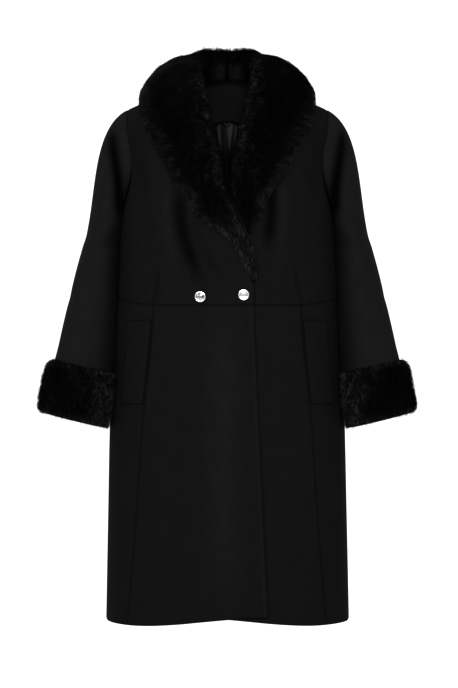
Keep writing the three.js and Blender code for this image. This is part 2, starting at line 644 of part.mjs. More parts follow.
function collarHalf(name, side, end) {
  const rows = [...COLLAR_NECK, ...COLLAR_CHEST, ...end].map((row) => {
    if (row.y !== undefined) return row;
    const y = frontSkin(side * row.own, row.z, LAID_GAP, side).point.y;
    const outerY = frontSkin(side * row.outer.own, row.outer.z, LAID_GAP, side).point.y;
    return { ...row, y, outer: { ...row.outer, y: outerY } };
  });
  const under = [];
  const rises = [];
  for (let i = 0; i <= COLLAR_RINGS; i += 1) {
    const { inner, outer, arch, up, pile, lean } = collarRow(rows, (i / COLLAR_RINGS) * (rows.length - 1));
    const lift = V(0, -Math.cos(up), Math.sin(up));
    under.push([]);
    rises.push([]);
    for (let j = 0; j <= COLLAR_COLUMNS; j += 1) {
      const across = (1 - Math.cos((Math.PI * j) / COLLAR_COLUMNS)) / 2;
      const point = inner.clone().lerp(outer, across);
      point.addScaledVector(lift, arch * archShape(across));
      point.x = i === 0 ? COLLAR_JOIN : point.x - lean * leanShape(across);
      under[i].push(seatOn(point, lift, side));
      rises[i].push(pile * pileShape(across));
    }
  }
  const top = under.map((row, i) =>
    row.map((point, j) => {
      const along = under[Math.min(i + 1, COLLAR_RINGS)][j].clone().sub(under[Math.max(i - 1, 0)][j]);
      const across = row[Math.min(j + 1, COLLAR_COLUMNS)].clone().sub(row[Math.max(j - 1, 0)]);
      const raised = point.clone().addScaledVector(along.cross(across).normalize(), rises[i][j]);
      if (i === 0) raised.x = COLLAR_JOIN;
      else if (end === COLLAR_END.under) raised.x = Math.max(raised.x, COLLAR_JOIN);
      return raised;
    }),
  );
  add(name, solid(mirrored(top, side), mirrored(under, side), { pinched: true }), fur);
}

// A metal button on its shank, turned to face the way its cloth does.
function button(name, x, z) {
  const profile = [
    [0, 0],
    [2.6, 0],
    [2.6, 1.6],
    [BUTTON_RADIUS - 1.4, 1.6],
    [BUTTON_RADIUS, 2.6],
    [BUTTON_RADIUS, 3.4],
    [BUTTON_RADIUS - 1, 4.2],
    [BUTTON_RADIUS - 2.2, 3.9],
    [BUTTON_RADIUS - 3.4, 4.1],
    [0, 5],
  ].map(([r, h]) => new THREE.Vector2(r, h));
  const mesh = add(name, new THREE.LatheGeometry(profile, 24), metal);
  const { point, normal } = frontSkin(x, z, LAID_GAP, -1);
  mesh.quaternion.setFromUnitVectors(V(0, 1, 0), normal);
  mesh.position.copy(point);
}

bodiceFront("bodice_front_right", -1);
bodiceFront("bodice_front_left", 1);
bodiceBack();
for (const [side, word] of [
  [-1, "right"],
  [1, "left"],
]) {
  skirtPanel(`skirt_front_${word}`, side, 11, frontEdge, (level) => frontAngle(panelSeam(ARMPIT_Z + level), level));
  skirtPanel(`skirt_side_${word}`, side, 5, panelSeam, () => QUARTER);
  pocketWelt(`pocket_welt_${word}`, side);
  sleeve(`sleeve_${word}`, side);
  cuff(`fur_cuff_${word}`, side);
}
skirtBack();
backFacing();
backLining();
collarHalf("fur_collar_right", -1, COLLAR_END.top);
collarHalf("fur_collar_left", 1, COLLAR_END.under);
button("button_right", -53.5, -450);
button("button_left", 32.8, -446);

export default coat;
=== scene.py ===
# %% [markdown]
# # A long coat with a fur collar and fur cuffs
#
# The coat hangs in the air as if somebody wore it, with nobody inside. A tailor cuts it from flat pieces,
# and this lesson makes each piece as a surface worked out with numpy, then lays fur, stitches and buttons
# on it. Shapes are worked out in millimetres, with the origin between the two neck points, and become
# metres when a mesh is made.

import bpy
import numpy as np
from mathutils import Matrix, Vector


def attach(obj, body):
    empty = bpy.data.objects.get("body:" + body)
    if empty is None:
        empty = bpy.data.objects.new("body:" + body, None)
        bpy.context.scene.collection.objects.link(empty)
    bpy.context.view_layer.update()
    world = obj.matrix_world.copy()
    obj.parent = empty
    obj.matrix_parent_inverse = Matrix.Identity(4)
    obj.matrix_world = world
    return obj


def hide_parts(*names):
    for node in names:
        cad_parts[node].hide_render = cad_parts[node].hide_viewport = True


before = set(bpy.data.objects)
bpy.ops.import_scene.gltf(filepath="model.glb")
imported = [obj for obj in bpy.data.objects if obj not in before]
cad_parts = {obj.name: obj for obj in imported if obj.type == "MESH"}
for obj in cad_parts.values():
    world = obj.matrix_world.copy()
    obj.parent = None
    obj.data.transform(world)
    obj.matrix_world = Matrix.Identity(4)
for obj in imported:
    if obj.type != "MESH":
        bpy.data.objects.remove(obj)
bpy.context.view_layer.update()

MM = 0.001

# %% [markdown]
# ## Curves and tables
#
# A garment's sizes are measured at a few heights, and the cloth runs smoothly between them. So each size is
# a short table, and a cubic curve passes through its rows. It has no bumps between the rows, as straight
# lines would.

# %% Smooth curves through a table
def table(columns, *rows):
    """The columns of a small table, by name."""
    return dict(zip(columns.split(), np.array(rows, float).T))


def hermite(a, leave, b, arrive, t):
    """A cubic from a to b that leaves and arrives with the given slopes, at the share t of the way."""
    s = 1 - t
    return a * (1 + 2 * t) * s * s + leave * t * s * s + b * t * t * (3 - 2 * t) - arrive * t * t * s


def curve(rows, along, column):
    """A smooth curve through one column of a table, whose rows rise in the column that is named along."""
    xs, ys = rows[along], rows[column]
    before, after = np.maximum(np.arange(len(xs)) - 1, 0), np.minimum(np.arange(len(xs)) + 1, len(xs) - 1)
    slopes = (ys[after] - ys[before]) / (xs[after] - xs[before])

    def value(x):
        x = np.clip(x, xs[0], xs[-1])
        i = np.clip(np.searchsorted(xs, x, side="right") - 1, 0, len(xs) - 2)
        step = xs[i + 1] - xs[i]
        return hermite(ys[i], slopes[i] * step, ys[i + 1], slopes[i + 1] * step, (x - xs[i]) / step)

    return value


def smooth(start, end, x):
    """Eases from 0 to 1 between two values, in either order."""
    t = np.clip((x - start) / (end - start), 0, 1)
    return t * t * (3 - 2 * t)


def mix(a, b, t):
    """The value at the share t of the way from a to b."""
    return a + (b - a) * t


def bell(distance, width):
    """1 at no distance, fading smoothly over about twice the width."""
    return np.exp(-((distance / width) ** 2))


def drop_off(share, power, root):
    """1 at no share and 0 at the whole of it, along a superellipse."""
    return (1 - share**power) ** root


# %% [markdown]
# ## The body of the coat
#
# Seen from above, a filled-out coat is a ring between an ellipse and a rounded box. This is a superellipse:
# the shares of its half width and its depth, each raised to the same power, add up to 1. Above the armpits
# the rings close in to the shoulder seams. A place on the coat is an angle, 0 at the middle front and a
# quarter turn at the wearer's left, and a level over the armpits, which follows the slope of the shoulders.

# %% The coat's sizes
CLOTH = 3
LAID_GAP = 0.6
ARMPIT_Z = -275
UPPER = 275
WAIST_Z = -467
WAIST_SIDE_RISE = 18
HEM_Z = -1113
HEM_FRONT_RISE, HEM_RISE_WIDTH = 21, 233
NECK_HALF = 80
SHOULDER_SLOPE = 0.449
SEAM_Y = 5
ROUNDNESS = 2.35
OVERLAP_LIFT = 5.0
CLOSE_FRONT, CLOSE_BACK = (2.2, 0.62), (2.6, 0.55)
QUARTER = np.pi / 2
BODY = table(
    "z half front back",
    (-1113, 251.5, 166, 158),
    (-900, 247.5, 160, 152),
    (-700, 243.5, 153, 144),
    (-600, 238.5, 148, 133),
    (-460, 231.5, 137, 107),
    (-380, 227.5, 142, 105),
    (-275, 220.5, 150, 113),
)
FRONT_EDGE = table(
    "z own",
    (-1113, -83),
    (-800, -68),
    (-467, -54),
    (-420, -53.5),
    (-375, -49),
    (-350, -41),
    (-325, -29),
    (-299, -14),
    (-260, 2),
    (-239, 10),
    (-173, 22),
    (-111, 38),
    (-70, 50),
    (-42, 59),
    (-15, 72),
    (0, 80),
)
PANEL_SEAM = table("z own", (-1113, 201), (-983, 190), (-840, 180), (-700, 171), (-545, 155), (-467, 149.5))
ARMHOLE = table(
    "share front back",
    (0, 220.5, 220.5),
    (0.05, 214, 215),
    (0.13, 207, 209),
    (0.26, 199, 202),
    (0.43, 194.5, 199),
    (0.57, 197, 200),
    (0.78, 206, 206),
    (0.9, 208, 208),
    (1, 207, 207),
)
NECKLINE = table("own share", (0, 0.808), (20, 0.822), (40, 0.861), (60, 0.93), (80, 1))
body_half, body_front, body_back = (curve(BODY, "z", column) for column in ("half", "front", "back"))
front_edge = curve(FRONT_EDGE, "z", "own")
panel_seam = curve(PANEL_SEAM, "z", "own")
armhole_front, armhole_back = curve(ARMHOLE, "share", "front"), curve(ARMHOLE, "share", "back")
neck_share = curve(NECKLINE, "own", "share")
print("half width at the hem and at the armpits, mm:", body_half(HEM_Z), body_half(ARMPIT_Z))


# %% The bare surface
def unit(vectors):
    """Vectors scaled to a length of 1."""
    return vectors / np.maximum(np.linalg.norm(vectors, axis=-1, keepdims=True), 1e-9)


def depth_at(x, level, back):
    """Depth of a body ring at a distance from its middle: the superellipse solved for y."""
    z = ARMPIT_Z + np.minimum(level, 0)
    share = np.minimum(np.abs(x) / body_half(z), 1)
    return np.where(back, body_back(z), body_front(z)) * drop_off(share, ROUNDNESS, 1 / ROUNDNESS)


def front_angle(x, level):
    """The angle at which a ring's front passes x."""
    return np.arctan2(x, depth_at(x, level, False))


def surface(angle, level):
    """Points of the bare surface. Above the armpits z climbs in a straight line to the shoulder seam, while
    y closes on the seam along a curve that is steep first and flat on top."""
    back = np.cos(angle) < 0
    z = ARMPIT_Z + np.minimum(level, 0)
    deep = np.where(back, body_back(z), body_front(z))
    across, along = np.abs(np.sin(angle) / body_half(z)), np.abs(np.cos(angle) / deep)
    r = (across**ROUNDNESS + along**ROUNDNESS) ** (-1 / ROUNDNESS)
    x, y = r * np.sin(angle), -r * np.cos(angle)
    own, share = np.abs(x), np.clip(level / UPPER, 0, 1)
    rise = NECK_HALF * np.cos(np.minimum(own / NECK_HALF, 1) * QUARTER) ** 1.3
    top = np.where(own > NECK_HALF, -SHOULDER_SLOPE * (own - NECK_HALF), np.where(back, rise, 0))
    close = np.where(back, drop_off(share, *CLOSE_BACK), drop_off(share, *CLOSE_FRONT))
    y = np.where(share > 0, SEAM_Y + (y - SEAM_Y) * close, y)
    return np.stack([x, y, z + (top - ARMPIT_Z) * share], -1)


def surface_normal(angle, level):
    """Directions out of the bare surface, from points close by on either side."""
    turn, rise = 0.004, 0.6
    high = np.minimum(level + rise, UPPER)
    across = surface(angle + turn, level) - surface(angle - turn, level)
    return unit(np.cross(across, surface(angle, high) - surface(angle, high - 2 * rise)))


# %% [markdown]
# ## Folds
#
# Thick coating makes few, soft folds. Each is a trough along a line with the profile of a bell curve, put
# where the cloth is pulled: from the chest to the button, and along the side of the collar. A skirt hangs
# in flutes, waves that grow from nothing at the hips to their full depth at the hem, never two alike. A
# last table paints shade into some folds and paints highlights on ridges and down the middle of the skirt.

# %% Folds in the body
TROUGHS = table(
    "x z to_x to_z bow deep wide",
    (-95, -240, -50, -425, 14, 8, 13),
    (-66, -300, -8, -420, 8, 2.2, 9),
    (88, -225, 82, -360, -4, 7, 11),
    (-128, -330, -112, -462, 5, 1.2, 9),
    (132, -300, 118, -455, -6, 1.5, 10),
    (48, -330, 36, -440, 6, 1.3, 10),
    (-150, -150, -176, -290, 9, 1.6, 12),
    (152, -160, 178, -300, -9, 1.4, 13),
)
FLUTES = table(
    "angle deep wide",
    (-64, 3, 13),
    (-26, -3, 12),
    (2, 3, 11),
    (42, -3.5, 12),
    (75, 3, 11),
    (112, -5, 13),
    (138, 7, 12),
    (163, -5, 11),
    (186, 6, 13),
    (210, -7, 12),
    (235, 6, 13),
    (258, -4, 11),
)
FLUTE_TOP_Z = -560
BACK_TROUGHS = table(
    "x z to_x to_z bow deep wide",
    (-120, -260, -70, -440, -10, 2.4, 16),
    (118, -240, 62, -430, 10, 2.0, 15),
    (-30, -330, -12, -462, 5, 1.2, 12),
    (150, -120, 178, -260, -8, 1.8, 12),
    (-152, -130, -180, -270, 8, 1.6, 12),
)


def troughs(points, rows):
    """Depth of straight or bowed troughs, each fading out towards its two ends."""
    out = np.zeros(points.shape[:-1])
    for x, z, to_x, to_z, bow, deep, wide in zip(*rows.values()):
        t = (points[..., 2] - z) / (to_z - z)
        middle = mix(x, to_x, t) - bow * np.sin(np.pi * np.clip(t, 0, 1))
        out -= deep * smooth(-0.12, 0.2, t) * (1 - smooth(0.7, 1.1, t)) * bell(points[..., 0] - middle, wide)
    return out


def relief(points):
    """How far folds move the surface outwards: fullness over the chest, troughs, and flutes."""
    x, y, z = np.moveaxis(points, -1, 0)
    chest = 8 * bell((np.abs(x) - 92) / 58, 1) * bell((z + 292) / 75, 1)
    out = np.where(y < 0, chest + troughs(points, TROUGHS), troughs(points, BACK_TROUGHS) * smooth(0, 50, y))
    angle = np.degrees(np.arctan2(x, -y))
    for at, deep, wide in zip(*FLUTES.values()):
        out += deep * smooth(FLUTE_TOP_Z, HEM_Z, z) * bell((angle - at + 540) % 360 - 180, wide)
    return out


PLAIN_TONE = 0.58
TAIL_END_Z = -420
# Painted light along lines on the front, in the same columns as the troughs: a positive deep paints shade
# into a fold, a negative one paints a highlight on a ridge or down the middle of the skirt.
PAINTED_SHADE_AND_HIGHLIGHTS = table(
    "x z to_x to_z bow deep wide",
    (-96, -235, -50, -425, 14, 0.42, 14),
    (87, -215, 81, -355, -4, 0.46, 12),
    (-66, -300, -8, -420, 8, 0.12, 10),
    (112, -215, 106, -370, -5, -0.14, 9),
    (-122, -225, -100, -400, 10, -0.13, 10),
    (-6, -480, -4, -1080, 3, -0.17, 32),
    (-185, -90, -165, -250, 6, 0.13, 18),
    (185, -90, 165, -250, -6, 0.13, 18),
)


def tone_and_painted_light_at(points):
    """How pale the wool is painted at a place: painted shade in the folds of the front and faintly in the
    back troughs, painted highlights on ridges and down the middle of the skirt, and a painted highlight along
    the front edge."""
    front = smooth(30, -30, points[..., 1])
    tone = PLAIN_TONE + front * troughs(points, PAINTED_SHADE_AND_HIGHLIGHTS) + (1 - front) * 0.03 * troughs(points, BACK_TROUGHS)
    # Painted highlight: a pale line a few millimetres in from the top front's edge, below the collar's tail.
    from_edge = -points[..., 0] - front_edge(points[..., 2])
    return tone + front * 0.16 * bell(from_edge - 6, 2.5) * (points[..., 2] < TAIL_END_Z)


def overlap_lift(own, z):
    """How far the top front is lifted by the one below it, which ends at the mirrored front edge."""
    under = -front_edge(z)
    return OVERLAP_LIFT * (1 - smooth(under + 5, under + 42, own))


def skin(angle, level, out=0.0, side=0):
    """Points of the coat as made, moved out by some distance, and their directions outwards. Side -1 is the
    wearer's right front, which lies on top of the left one."""
    normals, points = surface_normal(angle, level), surface(angle, level)
    lift = overlap_lift(-points[..., 0], points[..., 2]) if side == -1 else 0
    return points + normals * (relief(points) + lift + out)[..., None], normals


def front_skin(x, z, out=0.0, side=0):
    """The same for places on the front that are given by their x and z."""
    top = -SHOULDER_SLOPE * np.maximum(np.abs(x) - NECK_HALF, 0)
    level = np.where(z <= ARMPIT_Z, z - ARMPIT_Z, UPPER * (z - ARMPIT_Z) / (top - ARMPIT_Z))
    return skin(front_angle(x, level), np.minimum(level, UPPER), out, side)


print("folds:", len(TROUGHS["x"]) + len(BACK_TROUGHS["x"]), "troughs and", len(FLUTES["angle"]), "flutes")

# %% [markdown]
# ## Meshes from arrays
#
# Blender reads whole arrays with `foreach_set`, which is far quicker than adding points one by one. A piece
# of cloth is a closed shell: an outer grid, an inner grid 3 mm inside it, and a rim that joins them.


# %% Put arrays into a mesh
def add_object(name, data):
    """A new object, linked to the scene."""
    thing = bpy.data.objects.new(name, data)
    bpy.context.scene.collection.objects.link(thing)
    return thing


def circle(turn, across, up):
    """Points at angles round an axis, from its two side directions, for one axis or for a row of them."""
    return across[..., None, :] * np.cos(turn)[:, None] + up[..., None, :] * np.sin(turn)[:, None]


def make_piece(name, points, faces, uv, material, sharp=None, tone_and_painted_light=None):
    """An object from points in millimetres and arrays of triangles or quads. The faces are turned to point
    outwards if the volume that they enclose comes out negative. The last argument is a value for each point
    that its finish reads: a plain tone with painted shade, painted highlights and painted reflections in it."""
    corners = points[faces[0][:, :3]]
    volume = np.einsum("ij,ij->i", corners[:, 0], np.cross(corners[:, 1], corners[:, 2])).sum()
    if len(faces[0][0]) == 4:
        far = points[faces[0][:, [0, 2, 3]]]
        volume += np.einsum("ij,ij->i", far[:, 0], np.cross(far[:, 1], far[:, 2])).sum()
    if volume < 0:
        faces = [group[:, ::-1] for group in faces]
    loops = np.concatenate([group.ravel() for group in faces])
    sizes = np.concatenate([np.full(len(group), group.shape[1]) for group in faces])
    mesh = bpy.data.meshes.new(name)
    mesh.vertices.add(len(points))
    mesh.vertices.foreach_set("co", (points * MM).astype(np.float32).ravel())
    mesh.loops.add(len(loops))
    mesh.loops.foreach_set("vertex_index", loops.astype(np.int32))
    mesh.polygons.add(len(sizes))
    mesh.polygons.foreach_set("loop_start", np.insert(np.cumsum(sizes)[:-1], 0, 0).astype(np.int32))
    mesh.uv_layers.new(name="cloth").data.foreach_set("uv", uv[loops].astype(np.float32).ravel())
    if tone_and_painted_light is not None:
        mesh.attributes.new("tone_and_painted_light", "FLOAT", "POINT").data.foreach_set("value", tone_and_painted_light.astype(np.float32).ravel())
    mesh.update(calc_edges=True)
    mesh.shade_smooth()
    if sharp:
        mesh.set_sharp_from_angle(angle=np.radians(sharp))
    mesh.materials.append(material)
    piece = add_object(name, mesh)
    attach(piece, "root")
    return piece


def grid_faces(rows, columns, wraps=False):
    """Quads of a grid whose points are numbered row by row."""
    i, j = np.meshgrid(np.arange(rows - 1), np.arange(columns if wraps else columns - 1), indexing="ij")
    a, b = i * columns + j, i * columns + (j + 1) % columns
    return np.stack([a, b, b + columns, a + columns], -1).reshape(-1, 4)


def shell_faces(rows, columns, wraps=False):
    """Quads of a closed shell between an outer grid and an inner one that is numbered after it."""
    outer = grid_faces(rows, columns, wraps)
    inner = outer[:, ::-1] + rows * columns
    count = rows * columns
    top, bottom = np.arange(columns), (rows - 1) * columns + np.arange(columns)
    if wraps:
        rims = [np.append(bottom, bottom[0]), np.append(top, top[0])[::-1]]
    else:
        left, right = np.arange(rows) * columns, np.arange(rows) * columns + columns - 1
        rims = [np.concatenate([top, right[1:], bottom[::-1][1:], left[::-1][1:]])[::-1]]
    walls = [np.stack([rim[:-1], rim[1:], rim[1:] + count, rim[:-1] + count], -1) for rim in rims]
    return np.concatenate([outer, inner, *walls])


def edge_distance(points, wraps=False):
    """How far each point of a grid lies from the nearest edge of the grid, along its row or its column."""

    def from_ends(axis):
        steps = np.linalg.norm(np.diff(points, axis=axis), axis=-1)
        start = np.insert(np.cumsum(steps, axis), 0, 0, axis)
        return np.minimum(start, start.take([-1], axis) - start)

    return from_ends(0) if wraps else np.minimum(from_ends(0), from_ends(1))


def spread(length, step):
    """Shares from 0 to 1 at even steps, with three more close to each end where a seam's edge rolls in."""
    near = np.array([0.9, 2.2, 4.2]) / length
    even = np.linspace(0, 1, max(int(length / step), 2) + 1)
    inside = even[(even > 6 / length) & (even < 1 - 6 / length)]
    return np.concatenate([[0], near, inside, 1 - near[::-1], [1]])


# %% [markdown]
# ## Finishes
#
# The coat is black on black, so its finishes differ in how they catch light. The coating is napped wool:
# nearly matt, with a faint mottle and a fine fibrous grain. The fur is darker, with tips painted paler. The
# lining is glossy satin, and the buttons are polished metal. How pale each place is gets worked out with
# numpy and kept on the points as an attribute, which the wool, the satin and the metal read. It holds the
# plain tone with painted shade and painted highlights on the cloth, painted sheen on the satin and painted
# reflections on the metal.


# %% Build materials from nodes
def new_material(name, color, roughness, **sockets):
    """A material with a Principled shader. Uniform values are set on its own sockets."""
    material = bpy.data.materials.new(name)
    material.use_nodes = True
    shader = material.node_tree.nodes["Principled BSDF"]
    for socket, value in {"Base Color": (*color, 1), "Roughness": roughness, **sockets}.items():
        shader.inputs[socket.replace("_", " ")].default_value = value
    return material


def grey(value):
    """A colour without hue."""
    return (value, value, value)


def add_node(material, kind, values=None, **properties):
    """Adds a node. Values are numbers for its inputs, or sockets to link to them."""
    node = material.node_tree.nodes.new(kind)
    for key, value in properties.items():
        setattr(node, key, value)
    for key, value in (values or {}).items():
        if isinstance(value, bpy.types.NodeSocket):
            material.node_tree.links.new(value, node.inputs[key])
        else:
            node.inputs[key].default_value = value
    return node


def link_shader(material, **sockets):
    """Links sockets to the inputs of the material's shader."""
    shader = material.node_tree.nodes["Principled BSDF"]
    for name, socket in sockets.items():
        material.node_tree.links.new(socket, shader.inputs[name.replace("_", " ")])


def noise(material, scale, detail=3.0, stretch=(1, 1, 1), roughness=0.5):
    """Noise on Object coordinates, with its size set by scale, in repeats for each metre."""
    place = add_node(material, "ShaderNodeTexCoord").outputs["Object"]
    turned = add_node(material, "ShaderNodeMapping", {"Vector": place, "Scale": stretch}).outputs["Vector"]
    values = {"Vector": turned, "Scale": scale, "Detail": detail, "Roughness": roughness}
    return add_node(material, "ShaderNodeTexNoise", values).outputs["Fac"]


def ramp(material, factor, low, high, start=0.3, end=0.7):
    """A grey or coloured blend that follows a factor."""
    node = add_node(material, "ShaderNodeValToRGB", {"Fac": factor})
    for element, position, color in zip(node.color_ramp.elements, (start, end), (low, high)):
        element.position, element.color = position, (*color, 1)
    return node.outputs["Color"]


def bump(material, height, strength, distance, below=None):
    """A bump from a height, on top of another one."""
    values = {"Height": height, "Strength": strength, "Distance": distance}
    if below is not None:
        values["Normal"] = below
    return add_node(material, "ShaderNodeBump", values).outputs["Normal"]


def work_out(material, operation, *values):
    """The result of a Math node on numbers or sockets."""
    return add_node(material, "ShaderNodeMath", dict(enumerate(values)), operation=operation).outputs["Value"]


def painted_light_color(material, dark, pale, mottling):
    """A blend from dark to pale that follows the attribute of tone and painted light, varied a little by a
    mottle.
    """
    tone_and_painted_light = add_node(material, "ShaderNodeAttribute", attribute_name="tone_and_painted_light").outputs["Fac"]
    varied = work_out(material, "MULTIPLY_ADD", mottling, 0.4, 0.8)
    return ramp(material, work_out(material, "MULTIPLY", tone_and_painted_light, varied), grey(dark), grey(pale), 0.0, 1.0)


WOOL = new_material("napped wool", grey(0.0055), 0.9, Specular_IOR_Level=0.03, Sheen_Weight=0.005)
link_shader(
    WOOL,
    Base_Color=painted_light_color(WOOL, 0.0005, 0.0095, noise(WOOL, 60, 5.0, (1, 1, 0.6), 0.6)),
    Normal=bump(
        WOOL,
        noise(WOOL, 900, 2.0, (1, 1, 0.45), 0.7),
        0.35,
        0.0006,
        bump(WOOL, noise(WOOL, 220, 2.0, (1, 1, 0.7)), 0.15, 0.0008),
    ),
)
SATIN = new_material("black satin", grey(0.01), 0.55, Specular_IOR_Level=0.03)
link_shader(
    SATIN,
    Base_Color=painted_light_color(SATIN, 0.0005, 0.06, noise(SATIN, 30, 2.0, (1, 1, 0.3))),
    Normal=bump(SATIN, noise(SATIN, 1400, 1.0, (1, 1, 0.2)), 0.2, 0.0003),
)
THREAD = new_material("sewing thread", grey(0.0085), 0.8, Specular_IOR_Level=0.05)
link_shader(THREAD, Normal=bump(THREAD, noise(THREAD, 2500, 1.0), 0.3, 0.0003))
METAL = new_material("polished metal", grey(0.5), 0.28, Metallic=1.0)
link_shader(METAL, Base_Color=painted_light_color(METAL, 0.03, 0.56, noise(METAL, 200, 2.0, (1, 1, 1))))
link_shader(METAL, Roughness=ramp(METAL, noise(METAL, 500, 4.0), grey(0.1), grey(0.2)))
print("finishes:", [material.name for material in bpy.data.materials])

# %% [markdown]
# ## Cloth panels
#
# Each panel is cut from the coat's surface between its seams. Along a seam the cloth rolls in, so the last
# few millimetres dip and two panels meet in a narrow valley. It could be a bump, but a real valley also
# catches the light from the side. Each panel's UV map spans the flat size that it was cut to.

# %% Cut a panel from the surface
SEAM_DIP = 1.3
SEAM_WIDTH = 2.2
GRID, FRONT_GRID = 6.0, 3.6


def lay_cloth(node, outer, inward, flat, area, thick=CLOTH, wraps=False, satin=False, tone_and_painted_light=None, tuck=None):
    """A closed shell from a grid of outer points and the directions into the cloth. Its edges roll in by
    SEAM_DIP. Tuck is a row of points under the neighbouring piece, for the allowance that lies behind the
    first row's seam."""
    kind, material, slot = ("satin", SATIN, "satin") if satin else ("cloth", WOOL, "wool")
    name = f"{node}_{kind}"
    rolled = bell(edge_distance(outer, wraps), SEAM_WIDTH)
    # The rolled edges are painted darker too: painted shade in the seam's valley.
    tone_and_painted_light = (PLAIN_TONE if tone_and_painted_light is None else tone_and_painted_light) * (1 - 0.35 * rolled)
    outer = outer + inward * (SEAM_DIP * rolled)[..., None]
    if tuck is not None:
        pairs = (tuck, outer), (inward[:1], inward), (tone_and_painted_light[:1], tone_and_painted_light)
        outer, inward, tone_and_painted_light = (np.concatenate(pair) for pair in pairs)
    inner = outer + inward * thick
    rows, columns = outer.shape[:2]
    points = np.concatenate([outer.reshape(-1, 3), inner.reshape(-1, 3)])
    u, v = np.meshgrid(np.linspace(0, flat[0], columns), np.linspace(0, flat[1], rows))
    uv = np.tile(np.stack([u.ravel(), v.ravel()], -1), (2, 1))
    tone_and_painted_light = np.tile(tone_and_painted_light.ravel(), 2)
    faces = [shell_faces(rows, columns, wraps)]
    piece = make_piece(name, points, faces, uv, material, sharp=50, tone_and_painted_light=tone_and_painted_light)
    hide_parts(node)
    corners = np.cross(np.diff(outer, axis=0)[:, 1:], np.diff(outer, axis=1)[1:])
    size = np.linalg.norm(corners, axis=-1).sum() * MM**2
    print(f"{name}: {rows} x {columns} points, {size:.3f} square metres of surface, cut {area}")


def grid_of(length, width, step=GRID):
    """Shares up and across a panel, as two grids."""
    return np.meshgrid(spread(length, step), spread(width, step), indexing="ij")


def waist_level(angle):
    """Level of the waist seam, which is higher at the sides and back."""
    turned = np.degrees(np.abs(np.arctan2(np.sin(angle), np.cos(angle))))
    return WAIST_Z - ARMPIT_Z + WAIST_SIDE_RISE * smooth(50, 90, turned)


def hem_level(own):
    """Level of a front's hem, which rises towards the front edge."""
    return HEM_Z - ARMPIT_Z + HEM_FRONT_RISE * smooth(0, 1.15, (PANEL_SEAM["own"][0] - own) / HEM_RISE_WIDTH)


# %% Fronts and back above the waist
LOW_SHARE = 0.4
DART_OWN, DART_LENGTH, DART_DEPTH, DART_WIDTH = (150, 134), 95, 1.1, 3.2


def bodice_shares(up):
    """A share of the way up from the waist seam to the armpit, and one from there to the shoulder seam."""
    above = np.clip((up - LOW_SHARE) / (1 - LOW_SHARE), 0, 1)
    return np.minimum(up / LOW_SHARE, 1), np.sin(QUARTER * above) ** 2


def bodice_front(word, side):
    up, across = grid_of(470, 250, FRONT_GRID)
    low, share = bodice_shares(up)
    rough = np.where(share > 0, share * UPPER, (WAIST_Z - ARMPIT_Z) * (1 - low))
    inner = front_angle(front_edge(ARMPIT_Z + rough), rough)
    outer = np.where(share > 0, front_angle(armhole_front(share), 0), QUARTER)
    angle = mix(inner, outer, across)
    level = np.where(share > 0, share * UPPER, waist_level(angle) * (1 - low))
    points, normals = skin(side * angle, level, 0.0, side)
    points = points - normals * dart(points)[..., None]
    points[-1, :, 1] = SEAM_Y
    # The dart's groove is painted darker: painted shade in it.
    tone_and_painted_light = tone_and_painted_light_at(points) - 0.22 * dart(points)
    lay_cloth(f"bodice_front_{word}", points, -normals, (0.34, 0.50), 0.118, tone_and_painted_light=tone_and_painted_light)


def dart(points):
    """Depth of the groove where the dart was sewn, from the waist seam up towards the bust."""
    own, z = np.abs(points[..., 0]), points[..., 2]
    t = (z - WAIST_Z) / DART_LENGTH
    groove = DART_DEPTH * bell(own - mix(*DART_OWN, t), DART_WIDTH)
    return groove * smooth(-0.1, 0, t) * (1 - smooth(0.6, 1.0, t))


def bodice_back():
    up, across = grid_of(480, 520)
    low, share = bodice_shares(up)
    half = armhole_back(share)
    outer = np.where(share > 0, np.arctan2(half, depth_at(half, 0, True)), QUARTER)
    angle = np.pi + mix(-1, 1, across) * outer
    own = np.abs(surface(angle, 0 * angle)[..., 0])
    top = UPPER * np.where(own < NECK_HALF, neck_share(own), 1)
    level = np.where(share > 0, share * top, waist_level(angle) * (1 - low))
    points, normals = skin(angle, level)
    points[-1, own[-1] >= NECK_HALF, 1] = SEAM_Y
    lay_cloth("bodice_back", points, -normals, (0.53, 0.50), 0.22, tone_and_painted_light=tone_and_painted_light_at(points))


SIDES = (("right", -1), ("left", 1))
for word, side in SIDES:
    bodice_front(word, side)
bodice_back()


# %% Skirt panels
def skirt_panel(node, side, width, from_own, to_angle, flat, area):
    up, across = grid_of(650, width)
    rough = mix(HEM_Z, WAIST_Z, up) - ARMPIT_Z
    start, end = front_angle(from_own(ARMPIT_Z + rough), rough), to_angle(rough)
    angle = mix(start, end, across)
    level = mix(hem_level(surface(angle, rough)[..., 0]), waist_level(angle), up)
    points, normals = skin(side * angle, level, 0.0, side)
    lay_cloth(node, points, -normals, flat, area, tone_and_painted_light=tone_and_painted_light_at(points))


def skirt_back():
    up, across = grid_of(660, 760, 8.5)
    angle = np.pi + mix(-1, 1, across) * QUARTER
    points, normals = skin(angle, mix(HEM_Z - ARMPIT_Z, waist_level(angle), up))
    lay_cloth("skirt_back", points, -normals, (0.70, 0.67), 0.43, tone_and_painted_light=tone_and_painted_light_at(points))


def panel_seam_angle(level):
    return front_angle(panel_seam(ARMPIT_Z + level), level)


def side_seam_angle(level):
    return QUARTER + 0 * level


for word, side in SIDES:
    skirt_panel(f"skirt_front_{word}", side, 260, front_edge, panel_seam_angle, (0.30, 0.66), 0.165)
    skirt_panel(f"skirt_side_{word}", side, 140, panel_seam, side_seam_angle, (0.17, 0.68), 0.095)
skirt_back()


# %% Pocket welts, facing and lining
WELT_WIDTH = 49
WELT_TOP_Z = -497
WELT_BOTTOM_Z = -666
WELT_OUT = CLOTH + LAID_GAP


